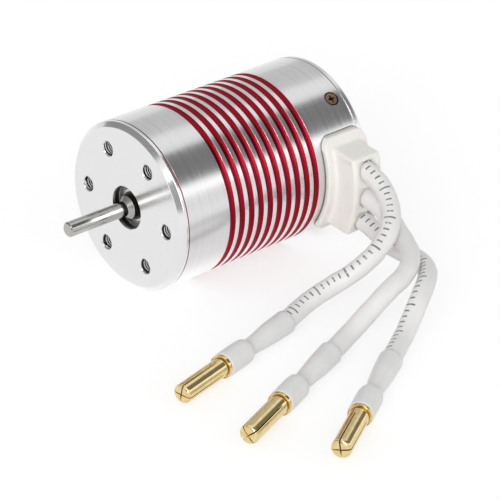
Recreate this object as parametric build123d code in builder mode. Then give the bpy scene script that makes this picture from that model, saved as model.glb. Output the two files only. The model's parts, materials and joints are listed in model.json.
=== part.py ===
from build123d import *
from math import cos, hypot, pi, radians, sin, sqrt, tan
import os

# Brushless inrunner motor with a 36 mm can, three sleeved leads and 4 mm bullet plugs.
# Millimetres. The motor's axis lies along Y. The mounting face is at Y = 0 and looks along -Y,
# as the shaft does. +Z is up and the can lies on a surface that is half its diameter below.
# Angles about the axis run from +X towards +Z.

# --- Can and end bells ---
can_diameter = 36.0
body_length = 50.0
can_wall = 1.5
edge_break = 0.15
front_rim = 1.7
front_chamfer = 1.05
front_bell_depth = 6.5
rear_rim = 1.8
rear_chamfer = 0.8
rear_bell_depth = 7.0
rear_web = 3.0
rear_hub_depth = 6.0
rear_hub_wall = 2.0
rear_spigot_wall = 3.0
rear_opening_diameter = 7.0
front_bearing_lip = 1.7
rear_bearing_lip = 1.0
front_opening_diameter = 9.1
opening_break = 0.1

# --- Cooling grooves ---
first_groove = 12.31
groove_rear_room = 13.9
groove_pitch = 2.485
groove_width = 1.36
groove_depth = 0.45
fin_break = 0.1

# --- Mounting holes in the front face ---
bolt_circle = 25.0
bolt_count = 6
bolt_radius = 1.5
bolt_depth = 5.0
bolt_mouth_radius = 1.7
bolt_phase = -3.0

# --- Screws through the can into the rear bell ---
screw_count = 3
screw_angle = 52.6
screw_inset = 4.4
screw_radius = 0.8
screw_length = 3.6
screw_head_radius = 1.5
screw_sink = 0.07
screw_slot_width = 0.4
screw_slot_length = 1.7
screw_slot_depth = 0.4
screw_seat_clearance = 0.03

# --- Bearings ---
shaft_diameter = 5.0
bearing_diameter = 11.0
bearing_width = 4.0
ball_diameter = 1.588
ball_count = 7
ball_play = 0.05
race_gap = 0.8
cage_thickness = 0.5
cage_width = 2.4
cage_play = 0.06
shield_thickness = 0.2
shield_setback = 0.2
shield_seat_depth = 0.2
shield_gap = 0.12
shim_diameter = 5.9
shim_thickness = 0.2
preload_height = 0.5
preload_thickness = 0.15
preload_inner_radius = 4.0
preload_rim_gap = 0.1

# --- Shaft and rotor ---
output_diameter = 3.175
output_length = 15.0
output_break = 0.3
shoulder_setback = 0.2
shaft_end_setback = 0.6
rotor_overhang = 0.5
magnet_share = 0.3
magnet_count = 4
magnet_gap = 0.6
sleeve_thickness = 0.4
balance_ring_width = 2.2
balance_ring_step = 0.5
spacer_wall = 0.9

# --- Stator ---
stack_front = 13.0
stack_rear_room = 14.0
air_gap = 0.5
shoe_thickness = 1.1
yoke_thickness = 2.9
slot_share = 0.338
tooth_count = 6
tooth_share = 0.511
slot_opening = 1.6
insulator_thickness = 0.8
liner_thickness = 0.25
coil_corner = 1.8
coil_slot_gap = 0.3
coil_side_gap = 0.62
star_wire_diameter = 1.2
star_ring_gap = 0.47
tail_diameter = 1.8
tail_bend = 1.7
tail_inset = 0.5
tail_straight = 0.3
tail_spread = 42.1

# --- Wire block ---
wire_exit_inset = 6.5
wire_exit_angle = -5.5
block_projection = 7.0
block_length = 7.5
block_height = 17.8
block_edge = 0.75
block_foot = 0.8
flange_thickness = 1.3
flange_length = 11.3
flange_height = 21.6
flange_corner = 2.4
flange_edge = 0.35
window_length = 6.8
window_height = 16.8
window_corner = 1.6
window_clearance = 0.05
block_tongue = 3.0
lead_pitch = 5.9
lead_bore_diameter = 4.5
lead_grip = 5.5
tail_clearance = 0.1

# --- Leads, boots and bullet plugs ---
lead_diameter = 4.0
lead_arc_share = 0.45
wire_diameter = 3.0
wire_end_length = 8.9
boot_play = 0.1
boot_wall = 0.35
boot_overlap = 5.3
boot_taper = 1.4
boot_step = 1.0
cup_diameter = 4.5
cup_bore_diameter = 3.2
cup_length = 7.0
cup_floor = 1.5
collar_diameter = 4.9
collar_length = 0.8
collar_rim = 0.15
collar_recess = 0.4
pin_neck_depth = 0.2
pin_neck_reach = 0.1
pin_diameter = 4.0
pin_length = 12.8
pin_shoulder = 0.4
pin_dome = 0.15
pin_slot_width = 0.28
pin_slot_length = 11.0

# Each lead: its bore's step across the wire block, the points of its free run from the end of its
# straight exit to its end in the boot, and the turn of the plug's slots from the vertical.
leads = {
    "a": dict(
        step=1,
        free_run=[
            (31.3, 42.9, 0.8), (36.3, 39.7, -2.1), (38.9, 34.4, -5.2), (38.5, 28.6, -8.4),
            (35.4, 24.0, -11.9), (34.2, 18.1, -14.2), (35.53, 12.2, -15.4), (37.0, 6.3, -15.4),
        ],
        slot_turn=8.0,
    ),
    "b": dict(
        step=0,
        free_run=[
            (31.0, 43.3, -3.8), (36.7, 42.0, -6.5), (42.5, 39.3, -7.0), (46.6, 34.3, -7.9),
            (48.0, 27.9, -8.9), (48.0, 22.4, -12.2), (48.4, 16.8, -14.9), (50.38, 10.9, -15.4),
            (52.76, 4.97, -15.4),
        ],
        slot_turn=-37.0,
    ),
    "c": dict(
        step=-1,
        free_run=[
            (32.3, 42.9, -10.7), (39.8, 43.5, -10.5), (46.7, 40.4, -9.8), (52.2, 32.9, -10.0),
            (55.2, 25.8, -14.8), (59.2, 19.0, -15.4), (63.26, 12.4, -15.4),
        ],
        slot_turn=-8.0,
    ),
}

# --- Sizes that follow from the ones above ---
can_radius = can_diameter / 2
can_inner_radius = can_radius - can_wall
shaft_radius = shaft_diameter / 2
output_radius = output_diameter / 2
bearing_radius = bearing_diameter / 2
ball_radius = ball_diameter / 2
pitch_radius = (shaft_radius + bearing_radius) / 2
inner_land_radius = pitch_radius - race_gap / 2
outer_land_radius = pitch_radius + race_gap / 2
yoke_inner_radius = can_inner_radius - yoke_thickness
shoe_radius = yoke_inner_radius * (1 - slot_share)
stator_bore_radius = shoe_radius - shoe_thickness
rotor_radius = stator_bore_radius - air_gap
magnet_radius = rotor_radius - sleeve_thickness
rotor_core_radius = magnet_radius * (1 - magnet_share)
stack_rear = body_length - stack_rear_room
stack_length = stack_rear - stack_front
half_slot_pitch = 180 / tooth_count
tooth_width = tooth_share * 2 * shoe_radius * sin(radians(half_slot_pitch))
coil_opening_length = stack_length + 2 * insulator_thickness
coil_opening_width = tooth_width + 2 * liner_thickness
coil_inner_radius = shoe_radius + coil_slot_gap
coil_half_width = coil_inner_radius * tan(radians(half_slot_pitch)) - coil_side_gap
coil_thickness = coil_half_width - coil_opening_width / 2
coil_back_radius = sqrt((yoke_inner_radius - coil_slot_gap) ** 2 - coil_half_width**2)
coil_depth = coil_back_radius - coil_inner_radius

front_bearing_face = front_bearing_lip
rear_lip_face = body_length - rear_bearing_lip
rear_bearing_face = rear_lip_face - preload_height - bearing_width
stack_middle = stack_front + stack_length / 2
coil_rear = stack_rear + insulator_thickness + coil_thickness
rotor_front = stack_front - rotor_overhang
rotor_rear = stack_rear + rotor_overhang
wire_exit = body_length - wire_exit_inset
screw_place = body_length - screw_inset
screw_top = can_radius - screw_sink
screw_seat_depth = screw_head_radius - screw_radius
groove_run = body_length - groove_rear_room - first_groove - groove_width
groove_count = int(groove_run / groove_pitch) + 1
tail_leg_radius = coil_back_radius - tail_inset
star_ring_radius = tail_leg_radius - tail_diameter / 2 - star_ring_gap - star_wire_diameter / 2
flange_radius = can_radius + flange_thickness
block_reach = can_radius + block_projection
lead_seat = block_reach - lead_grip
lead_radius = lead_diameter / 2
wire_radius = wire_diameter / 2
cup_start = wire_end_length
cup_end = cup_start + cup_length
cup_floor_place = cup_end - cup_floor
pin_start = cup_end + collar_length
pin_end = pin_start + pin_length


def section(y):
    """Plane across the axis at y. It faces the front, so pieces grow rearward by negative amounts."""
    return Plane(origin=(0, y, 0), x_dir=(1, 0, 0), z_dir=(0, -1, 0))


def radial(angle, radius, y):
    """Plane that faces straight out from the axis. Its x runs along the motor."""
    out = (cos(radians(angle)), 0, sin(radians(angle)))
    return Plane(origin=(radius * out[0], y, radius * out[2]), x_dir=(0, 1, 0), z_dir=out)


def at_exit(depth, offset=0.0, y=wire_exit):
    """Point in the wire block's own directions: depth outward and offset across the leads."""
    turn = radians(wire_exit_angle)
    return (
        depth * cos(turn) - offset * sin(turn),
        y,
        depth * sin(turn) + offset * cos(turn),
    )


def ring(inner, outer, y, width):
    """Plain ring about the motor's axis."""
    with BuildPart() as piece:
        with BuildSketch(section(y)):
            Circle(outer)
            Circle(inner, mode=Mode.SUBTRACT)
        extrude(amount=-width)
    return piece


def save(piece, name):
    """Label a finished piece and write it."""
    piece.part.label = name
    export_step(piece.part, f"parts/{name}.step")


os.makedirs("parts", exist_ok=True)

# --- Can: finned tube with the lead window and the screw seats ---
groove_mouth_radius = can_radius - fin_break
groove_floor_radius = can_radius - groove_depth
with BuildPart() as can:
    with BuildSketch(Plane.XY):
        with BuildLine():
            fin_start = (can_radius, front_rim + edge_break)
            Polyline((can_inner_radius, front_rim), (can_radius - edge_break, front_rim), fin_start)
            for groove in range(groove_count):
                start = first_groove + groove * groove_pitch
                end = start + groove_width
                Polyline(fin_start, (can_radius, start - fin_break), (groove_mouth_radius, start))
                ThreePointArc(
                    (groove_mouth_radius, start),
                    (groove_floor_radius, start + groove_width / 2),
                    (groove_mouth_radius, end),
                )
                fin_start = (can_radius, end + fin_break)
                Line((groove_mouth_radius, end), fin_start)
            Polyline(
                fin_start,
                (can_radius, body_length - rear_rim - edge_break),
                (can_radius - edge_break, body_length - rear_rim),
                (can_inner_radius, body_length - rear_rim),
                (can_inner_radius, front_rim),
            )
        make_face()
    revolve(axis=Axis.Y)
    with BuildSketch(radial(wire_exit_angle, 0, wire_exit)):
        RectangleRounded(window_length, window_height, window_corner)
    extrude(amount=can_diameter, mode=Mode.SUBTRACT)
    for screw in range(screw_count):
        with Locations(radial(screw_angle + screw * 360 / screw_count, screw_top, screw_place)):
            CounterSinkHole(
                screw_radius + screw_seat_clearance,
                screw_head_radius + screw_seat_clearance,
                depth=can_wall * 2,
            )
save(can, "can")

# --- Front end bell: mounting face, bearing pocket and six tapped holes ---
with BuildPart() as front_end_bell:
    with BuildSketch(Plane.XY):
        with BuildLine():
            Polyline(
                (front_opening_diameter / 2, opening_break),
                (front_opening_diameter / 2 + opening_break, 0),
                (can_radius - front_chamfer, 0),
                (can_radius, front_chamfer),
                (can_radius, front_rim - edge_break),
                (can_radius - edge_break, front_rim),
                (can_inner_radius, front_rim),
                (can_inner_radius, front_bell_depth),
                (bearing_radius, front_bell_depth),
                (bearing_radius, front_bearing_face),
                (front_opening_diameter / 2, front_bearing_face),
                close=True,
            )
        make_face()
    revolve(axis=Axis.Y)
    with Locations(section(0)):
        with PolarLocations(bolt_circle / 2, bolt_count, start_angle=bolt_phase):
            CounterSinkHole(bolt_radius, bolt_mouth_radius, depth=bolt_depth)
save(front_end_bell, "front_end_bell")

# --- Rear end bell: rim, spigot with a gap for the leads, web and bearing hub ---
hub_radius = bearing_radius + rear_hub_wall
with BuildPart() as rear_end_bell:
    with BuildSketch(Plane.XY):
        with BuildLine():
            Polyline(
                (rear_opening_diameter / 2, body_length),
                (can_radius - rear_chamfer, body_length),
                (can_radius, body_length - rear_chamfer),
                (can_radius, body_length - rear_rim + edge_break),
                (can_radius - edge_break, body_length - rear_rim),
                (can_inner_radius, body_length - rear_rim),
                (can_inner_radius, body_length - rear_bell_depth),
                (can_inner_radius - rear_spigot_wall, body_length - rear_bell_depth),
                (can_inner_radius - rear_spigot_wall, body_length - rear_web),
                (hub_radius, body_length - rear_web),
                (hub_radius, body_length - rear_hub_depth),
                (bearing_radius, body_length - rear_hub_depth),
                (bearing_radius, rear_lip_face),
                (rear_opening_diameter / 2, rear_lip_face),
                close=True,
            )
        make_face()
    revolve(axis=Axis.Y)
    with BuildSketch(radial(wire_exit_angle, hub_radius, body_length - rear_web)):
        with Locations((-rear_bell_depth, 0)):
            Rectangle(2 * rear_bell_depth, window_height + 2 * can_wall)
    extrude(amount=can_radius, mode=Mode.SUBTRACT)
    for screw in range(screw_count):
        with Locations(radial(screw_angle + screw * 360 / screw_count, screw_top, screw_place)):
            Hole(screw_radius, depth=screw_length)
save(rear_end_bell, "rear_end_bell")

# --- Housing screws: countersunk, with a cross recess ---
with BuildPart() as housing_screws:
    for screw in range(screw_count):
        angle = screw_angle + screw * 360 / screw_count
        with BuildSketch(radial(angle, screw_top - screw_length, screw_place)):
            Circle(screw_radius)
        extrude(amount=screw_length - screw_seat_depth)
        with BuildSketch(radial(angle, screw_top - screw_seat_depth, screw_place)):
            Circle(screw_radius)
        with BuildSketch(radial(angle, screw_top, screw_place)):
            Circle(screw_head_radius)
        loft()
        with BuildSketch(radial(angle, screw_top - screw_slot_depth, screw_place)):
            Rectangle(screw_slot_length, screw_slot_width)
            Rectangle(screw_slot_width, screw_slot_length)
        extrude(amount=screw_slot_depth, mode=Mode.SUBTRACT)
save(housing_screws, "housing_screws")


# --- Bearings: races, shields, balls and cage ---
def bearing(place, face):
    """One shielded ball bearing whose front face is at y = face."""
    middle = face + bearing_width / 2
    seat_radius = outer_land_radius + shield_seat_depth
    seat_width = shield_setback + shield_thickness
    with BuildPart() as outer_race:
        with BuildSketch(Plane.XY):
            with Locations(((outer_land_radius + bearing_radius) / 2, middle)):
                Rectangle(bearing_radius - outer_land_radius, bearing_width)
            with Locations((pitch_radius, middle)):
                Circle(ball_radius + ball_play, mode=Mode.SUBTRACT)
            for end in (face + seat_width / 2, face + bearing_width - seat_width / 2):
                with Locations((outer_land_radius, end)):
                    Rectangle(2 * shield_seat_depth, seat_width, mode=Mode.SUBTRACT)
        revolve(axis=Axis.Y)
    save(outer_race, f"{place}_bearing_outer_race")

    with BuildPart() as inner_race:
        with BuildSketch(Plane.XY):
            with Locations(((shaft_radius + inner_land_radius) / 2, middle)):
                Rectangle(inner_land_radius - shaft_radius, bearing_width)
            with Locations((pitch_radius, middle)):
                Circle(ball_radius + ball_play, mode=Mode.SUBTRACT)
        revolve(axis=Axis.Y)
    save(inner_race, f"{place}_bearing_inner_race")

    with BuildPart() as shields:
        for start in (face + shield_setback, face + bearing_width - seat_width):
            with BuildSketch(section(start)):
                Circle(seat_radius)
                Circle(inner_land_radius + shield_gap, mode=Mode.SUBTRACT)
            extrude(amount=-shield_thickness)
    save(shields, f"{place}_bearing_shields")

    with BuildPart() as balls:
        with Locations(section(middle)):
            with PolarLocations(pitch_radius, ball_count):
                Sphere(ball_radius)
    save(balls, f"{place}_bearing_balls")

    with BuildPart() as cage:
        with BuildSketch(Plane.XY):
            with Locations((pitch_radius, middle)):
                Rectangle(cage_thickness, cage_width)
        revolve(axis=Axis.Y)
        for ball in range(ball_count):
            with Locations(radial(ball * 360 / ball_count, bearing_radius, middle)):
                Hole(ball_radius + cage_play, depth=bearing_radius - shaft_radius)
    save(cage, f"{place}_bearing_cage")


bearing("front", front_bearing_face)
bearing("rear", rear_bearing_face)

# --- Shim washer on the shaft, against the front bearing's inner race ---
shim_place = front_bearing_face - shim_thickness
save(ring(shaft_radius, shim_diameter / 2, shim_place, shim_thickness), "front_shim")

# --- Preload washer: a shallow cone between the rear bearing and its pocket ---
with BuildPart() as preload_washer:
    with BuildSketch(Plane.XY):
        with BuildLine():
            Polyline(
                (bearing_radius - preload_rim_gap, rear_lip_face - preload_height),
                (bearing_radius - preload_rim_gap, rear_lip_face - preload_height + preload_thickness),
                (preload_inner_radius, rear_lip_face),
                (preload_inner_radius, rear_lip_face - preload_thickness),
                close=True,
            )
        make_face()
    revolve(axis=Axis.Y)
save(preload_washer, "preload_washer")

# --- Shaft ---
shaft_rear = body_length - shaft_end_setback
with BuildPart() as shaft:
    with BuildSketch(Plane.XY):
        with BuildLine():
            Polyline(
                (0, -output_length),
                (output_radius - output_break, -output_length),
                (output_radius, -output_length + output_break),
                (output_radius, shoulder_setback - (shaft_radius - output_radius)),
                (shaft_radius, shoulder_setback),
                (shaft_radius, shaft_rear - output_break),
                (shaft_radius - output_break, shaft_rear),
                (0, shaft_rear),
                close=True,
            )
        make_face()
    revolve(axis=Axis.Y)
save(shaft, "shaft")

# --- Rotor: core, magnets, sleeve, balance rings and spacers ---
rotor_length = rotor_rear - rotor_front
rotor_core = ring(shaft_radius, rotor_core_radius, rotor_front, rotor_length)
save(rotor_core, "rotor_core")

with BuildPart() as magnets:
    with BuildSketch(section(rotor_front)):
        Circle(magnet_radius)
        Circle(rotor_core_radius, mode=Mode.SUBTRACT)
        with PolarLocations(magnet_radius, magnet_count):
            Rectangle(2 * magnet_radius, magnet_gap, mode=Mode.SUBTRACT)
    extrude(amount=-rotor_length)
save(magnets, "magnets")

magnet_sleeve = ring(magnet_radius, rotor_radius, rotor_front, rotor_length)
save(magnet_sleeve, "magnet_sleeve")

balance_radius = rotor_radius - balance_ring_step
front_balance_start = rotor_front - balance_ring_width
rear_balance_end = rotor_rear + balance_ring_width
save(ring(shaft_radius, balance_radius, front_balance_start, balance_ring_width), "front_balance_ring")
save(ring(shaft_radius, balance_radius, rotor_rear, balance_ring_width), "rear_balance_ring")

spacer_radius = shaft_radius + spacer_wall
front_spacer_start = front_bearing_face + bearing_width
front_spacer_length = front_balance_start - front_spacer_start
rear_spacer_length = rear_bearing_face - rear_balance_end
save(ring(shaft_radius, spacer_radius, front_spacer_start, front_spacer_length), "front_spacer")
save(ring(shaft_radius, spacer_radius, rear_balance_end, rear_spacer_length), "rear_spacer")


# --- Stator: laminations, insulators, slot liners, coils and their wiring ---
def toothed_plate(y, thickness):
    """Yoke ring with inward teeth and shoes, one phase tooth facing the wire exit."""
    tooth_reach = yoke_inner_radius + yoke_thickness / 2
    with BuildPart() as plate:
        with BuildSketch(section(y)):
            Circle(can_inner_radius)
            Circle(yoke_inner_radius, mode=Mode.SUBTRACT)
            Circle(shoe_radius)
            with PolarLocations(tooth_reach / 2, tooth_count, start_angle=wire_exit_angle):
                Rectangle(tooth_reach, tooth_width)
            Circle(stator_bore_radius, mode=Mode.SUBTRACT)
            with PolarLocations(
                stator_bore_radius, tooth_count, start_angle=wire_exit_angle + half_slot_pitch
            ):
                Rectangle(4 * shoe_thickness, slot_opening, mode=Mode.SUBTRACT)
        extrude(amount=-thickness)
    return plate


save(toothed_plate(stack_front, stack_length), "stator_core")
save(toothed_plate(stack_front - insulator_thickness, insulator_thickness), "front_insulator")
save(toothed_plate(stack_rear, insulator_thickness), "rear_insulator")

tooth_angles = [wire_exit_angle + 360 / tooth_count * tooth for tooth in range(tooth_count)]
with BuildPart() as slot_liners:
    for angle in tooth_angles:
        with BuildSketch(radial(angle, coil_inner_radius, stack_middle)):
            flank = (tooth_width + liner_thickness) / 2
            with Locations((0, flank), (0, -flank)):
                Rectangle(coil_opening_length, liner_thickness)
        extrude(amount=coil_depth)
save(slot_liners, "slot_liners")


def coil_pair(angle):
    """The two coils of one phase, on opposite teeth."""
    with BuildPart() as coils:
        for side in (angle, angle + 180):
            with BuildSketch(radial(side, coil_inner_radius, stack_middle)):
                RectangleRounded(
                    coil_opening_length + 2 * coil_thickness,
                    coil_opening_width + 2 * coil_thickness,
                    coil_corner,
                )
                Rectangle(coil_opening_length, coil_opening_width, mode=Mode.SUBTRACT)
            extrude(amount=coil_depth)
    return coils


star_ring_place = coil_rear + star_wire_diameter / 2
with BuildPart() as star_ring:
    with BuildSketch(Plane.XY):
        with Locations((star_ring_radius, star_ring_place)):
            Circle(star_wire_diameter / 2)
    revolve(axis=Axis.Y)
save(star_ring, "star_ring")


def wire_along(points, bends, diameter):
    """Round wire on straight runs with an arc of one radius at each corner, and its path's length."""
    with BuildPart() as wire:
        with BuildLine() as path:
            FilletPolyline(*points, radius=bends)
        with BuildSketch(Plane(origin=path.line @ 0, z_dir=path.line % 0)):
            Circle(diameter / 2)
        sweep(path=path.line)
    return wire, sum(edge.length for edge in path.edges())


for phase, lead in leads.items():
    step = lead["step"]
    save(coil_pair(wire_exit_angle + step * 360 / tooth_count), f"winding_{phase}")
    leg_turn = radians(step * tail_spread)
    leg_depth = tail_leg_radius * cos(leg_turn)
    leg_offset = tail_leg_radius * sin(leg_turn)
    bore_offset = step * lead_pitch
    corners = [at_exit(leg_depth, leg_offset, coil_rear), at_exit(leg_depth, leg_offset)]
    bends = [tail_bend]
    if step:
        corners.append(at_exit(can_radius - block_tongue - tail_straight, bore_offset))
        bends.append(tail_bend)
    corners.append(at_exit(lead_seat, bore_offset))
    phase_tail, _ = wire_along(corners, bends, tail_diameter)
    save(phase_tail, f"phase_tail_{phase}")

# --- Wire block: curved flange, box with three stepped bores and a tongue in the window ---
exit_turn = radians(wire_exit_angle)
exit_direction = (cos(exit_turn), 0, sin(exit_turn))


def across_exit(y):
    """Plane across the axis like section, but with its x along the leads' exit."""
    return Plane(origin=(0, y, 0), x_dir=exit_direction, z_dir=(0, -1, 0))


with BuildPart() as wire_block:
    with BuildSketch(across_exit(wire_exit)):
        Circle(flange_radius)
        Circle(can_radius, mode=Mode.SUBTRACT)
    extrude(amount=flange_length, both=True)
    with BuildSketch(radial(wire_exit_angle, 0, wire_exit)):
        RectangleRounded(flange_length, flange_height, flange_corner)
    extrude(amount=flange_radius, mode=Mode.INTERSECT)
    outer_rim = wire_block.edges().filter_by(
        lambda edge: hypot(edge.center().X, edge.center().Z) > flange_radius - flange_thickness / 4
    )
    fillet(outer_rim, flange_edge)
    with BuildSketch(across_exit(wire_exit - block_length / 2)):
        Circle(block_reach)
        Circle(can_radius, mode=Mode.SUBTRACT)
        with Locations((block_reach, 0)):
            Rectangle(block_reach, block_height, mode=Mode.INTERSECT)
    extrude(amount=-block_length)
    box_edges = wire_block.edges().filter_by(
        lambda edge: hypot(edge.center().X, edge.center().Z) > flange_radius + block_edge
    )
    fillet(box_edges, block_edge)
    box_foot = wire_block.edges().filter_by(
        lambda edge: abs(hypot(edge.center().X, edge.center().Z) - flange_radius) < flange_edge / 2
        and abs(edge.center().Y - wire_exit) < block_length / 2 + flange_edge / 2
    )
    fillet(box_foot, block_foot)
    with BuildSketch(radial(wire_exit_angle, can_radius - block_tongue, wire_exit)):
        RectangleRounded(
            window_length - 2 * window_clearance,
            window_height - 2 * window_clearance,
            window_corner - window_clearance,
        )
    extrude(amount=block_tongue + flange_thickness / 2)
    with BuildSketch(radial(wire_exit_angle, 0, wire_exit)):
        with Locations(*((0, lead["step"] * lead_pitch) for lead in leads.values())):
            Circle(tail_diameter / 2 + tail_clearance)
    extrude(amount=lead_seat, mode=Mode.SUBTRACT)
    with BuildSketch(radial(wire_exit_angle, lead_seat, wire_exit)):
        with Locations(*((0, lead["step"] * lead_pitch) for lead in leads.values())):
            Circle(lead_bore_diameter / 2)
    extrude(amount=block_reach, mode=Mode.SUBTRACT)
save(wire_block, "wire_block")


# --- Leads with their boots, solder joints and bullet plugs ---
def cord_bends(points):
    """Bend radius at each corner: a share of the shorter run over the tangent of half the turn."""
    runs = [Vector(*after) - Vector(*before) for before, after in zip(points, points[1:])]
    return [
        lead_arc_share * min(one.length, two.length) / tan(radians(one.get_angle(two)) / 2)
        for one, two in zip(runs, runs[1:])
    ]


def plug_line(route):
    """End of a lead, the direction it points in and the level direction across it."""
    end = Vector(*route[-1])
    along = (end - Vector(*route[-2])).normalized()
    return end, along, Vector(0, 0, 1).cross(along).normalized()


def turned_on(route, outline):
    """Piece turned about a plug's axis from (radius, station) points. Stations start at the lead."""
    end, along, side = plug_line(route)
    with BuildPart() as piece:
        with BuildSketch(Plane(origin=end, x_dir=side, z_dir=side.cross(along))):
            with BuildLine():
                Polyline(*outline, close=True)
            make_face()
        revolve(axis=Axis(end, along))
    return piece


def bullet_plug(route, slot_turn):
    """Gold bullet plug: solder cup, hollow-faced collar and a blunt pin with crossed slots."""
    end, along, side = plug_line(route)
    with BuildPart() as plug:
        with BuildSketch(Plane(origin=end, x_dir=side, z_dir=side.cross(along))):
            with BuildLine():
                Polyline(
                    (cup_bore_diameter / 2, cup_start),
                    (cup_diameter / 2, cup_start),
                    (cup_diameter / 2, cup_end),
                    (collar_diameter / 2, cup_end),
                    (collar_diameter / 2, pin_start),
                    (collar_diameter / 2 - collar_rim, pin_start),
                    (collar_diameter / 2 - collar_rim, pin_start - collar_recess),
                    (pin_diameter / 2 - pin_neck_depth, pin_start - collar_recess),
                    (pin_diameter / 2 - pin_neck_depth, pin_start + pin_neck_reach),
                    (pin_diameter / 2, pin_start + pin_neck_reach),
                    (pin_diameter / 2, pin_end - pin_dome - pin_shoulder),
                    (pin_diameter / 2 - pin_shoulder, pin_end - pin_dome),
                    (0, pin_end),
                    (0, cup_floor_place),
                    (cup_bore_diameter / 2, cup_floor_place),
                    close=True,
                )
            make_face()
        revolve(axis=Axis(end, along))
        with BuildSketch(Plane(origin=end + along * pin_end, x_dir=side, z_dir=along)):
            for turn in (-slot_turn, 90 - slot_turn):
                with Locations(Location((0, 0), turn)):
                    Rectangle(2 * pin_diameter, pin_slot_width)
        extrude(amount=-pin_slot_length, mode=Mode.SUBTRACT)
    return plug


for phase, lead in leads.items():
    bore_offset = lead["step"] * lead_pitch
    route = [at_exit(lead_seat, bore_offset), at_exit(block_reach, bore_offset), *lead["free_run"]]
    bends = cord_bends(route)
    lead_wire, path_length = wire_along(route, bends, lead_diameter)
    solid_length = lead_wire.part.volume / (pi * lead_radius**2)
    print(f"lead {phase}: path {path_length:.2f} mm, volume over section {solid_length:.2f} mm,")
    print("  bend radii", [round(bend, 1) for bend in bends])
    save(lead_wire, f"lead_{phase}")
    wire_end = [(0, 0), (wire_radius, 0), (wire_radius, cup_start), (0, cup_start)]
    save(turned_on(route, wire_end), f"wire_end_{phase}")
    solder = [
        (0, cup_start),
        (cup_bore_diameter / 2, cup_start),
        (cup_bore_diameter / 2, cup_floor_place),
        (0, cup_floor_place),
    ]
    save(turned_on(route, solder), f"solder_{phase}")
    boot = [
        (lead_radius + boot_play, -boot_overlap),
        (lead_radius + boot_play + boot_wall, -boot_overlap),
        (lead_radius + boot_play + boot_wall, boot_step),
        (wire_radius + boot_wall, cup_start - boot_taper),
        (cup_diameter / 2 + boot_wall, cup_start),
        (cup_diameter / 2 + boot_wall, cup_end),
        (cup_diameter / 2, cup_end),
        (cup_diameter / 2, cup_start),
        (wire_radius, cup_start),
        (wire_radius, 0),
        (lead_radius + boot_play, 0),
    ]
    save(turned_on(route, boot), f"boot_{phase}")
    save(bullet_plug(route, lead["slot_turn"]), f"bullet_{phase}")
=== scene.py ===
import json
import math

import bmesh
import bpy
from mathutils import Matrix, Vector, noise


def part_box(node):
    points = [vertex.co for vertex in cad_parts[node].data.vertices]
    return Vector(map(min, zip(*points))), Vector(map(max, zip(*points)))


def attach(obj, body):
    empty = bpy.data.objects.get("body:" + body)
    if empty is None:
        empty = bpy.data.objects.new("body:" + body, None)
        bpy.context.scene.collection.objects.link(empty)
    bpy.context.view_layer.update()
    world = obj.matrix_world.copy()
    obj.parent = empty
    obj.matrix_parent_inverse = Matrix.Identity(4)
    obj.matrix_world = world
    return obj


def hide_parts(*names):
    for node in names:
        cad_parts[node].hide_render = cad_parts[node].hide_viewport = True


bl_info = {
    "name": "Finned Can Motor",
    "version": (1, 0, 0),
    "blender": (4, 5, 0),
    "location": "View3D > Sidebar > Motor",
    "description": "Dresses a finned brushless motor with its leads, boots and bullet plugs",
    "category": "Add Mesh",
}

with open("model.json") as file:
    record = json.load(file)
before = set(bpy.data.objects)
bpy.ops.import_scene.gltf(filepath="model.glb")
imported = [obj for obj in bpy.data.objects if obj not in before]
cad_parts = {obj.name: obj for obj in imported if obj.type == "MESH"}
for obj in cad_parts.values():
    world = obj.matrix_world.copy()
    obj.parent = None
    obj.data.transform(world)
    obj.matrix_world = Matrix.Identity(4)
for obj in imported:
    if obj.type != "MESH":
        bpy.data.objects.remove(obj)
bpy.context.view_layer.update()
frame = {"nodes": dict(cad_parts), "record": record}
NODES = frame["nodes"]
MOUNTS = {mount["name"]: mount for mount in frame["record"]["mounts"]}

# The motor's axis lies along Y and the mounting face looks along -Y. Angles about the axis run from
# +X towards +Z. Lengths are in metres.
MM = 0.001
CAN_LOW, CAN_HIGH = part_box("can")
CAN_RADIUS = CAN_HIGH.z
FRONT_SEAM = CAN_LOW.y
REAR_SEAM = CAN_HIGH.y
BODY_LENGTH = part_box("rear_end_bell")[1].y
SHAFT_LOW, SHAFT_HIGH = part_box("shaft")
SHAFT_RADIUS = SHAFT_HIGH.x
OUTPUT_RADIUS = MOUNTS["output_shaft"]["dims"]["r_mm"] * MM
BEARING_LOW, BEARING_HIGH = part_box("front_bearing_outer_race")
BEARING_RADIUS = BEARING_HIGH.x
FLOOR_HEIGHT = CAN_LOW.z
BOLT_CIRCLE = MOUNTS["face_holes"]["dims"]["pcd_mm"] * MM
BOLT_COUNT = MOUNTS["face_holes"]["dims"]["count"]
BOLT_RADIUS = MOUNTS["face_holes"]["dims"]["hole_r_mm"] * MM
PLUG_AXES = {phase: Vector(MOUNTS[f"plug_{phase}"]["axis"]) for phase in "abc"}

TURNED_TILT = 0.03  # most that a turned face leans sideways
POLE_RADIUS = 1e-7  # below it, a ring is one point on the axis
GROOVES_END = 40 * MM  # all the grooves lie before it, and the screw seats behind it
SEATS_END = 48 * MM
BODY_SEGMENTS = 288  # round the can and both bells
GROOVE_STEPS = 14  # across the hollow of a groove
COUNTERSINK = 82  # degrees, at the mouths of the mounting holes
THREAD_STEPS = 32  # round one turn of a thread
THREAD_RUN_IN = 12  # steps over which a thread rises to its full height
SCREW_CORE = 0.8 * MM
SCREW_REACH = 3.6 * MM
SCREW_RIM = 0.16 * MM
BLADE = (2.0 * MM, 1.2 * MM, 0.46 * MM)  # of the driver that fits a screw's cross
BLADE_TAPER = 0.62
RACE_HEIGHT = 1.1 * MM
RACE_EDGE = 0.12 * MM
BALL_COUNT = 7
BALL_CIRCLE = 4 * MM  # radius of the ring that the balls' middles lie on
BALL_RADIUS = 0.794 * MM
BALL_GROOVE = 0.844 * MM
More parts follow.
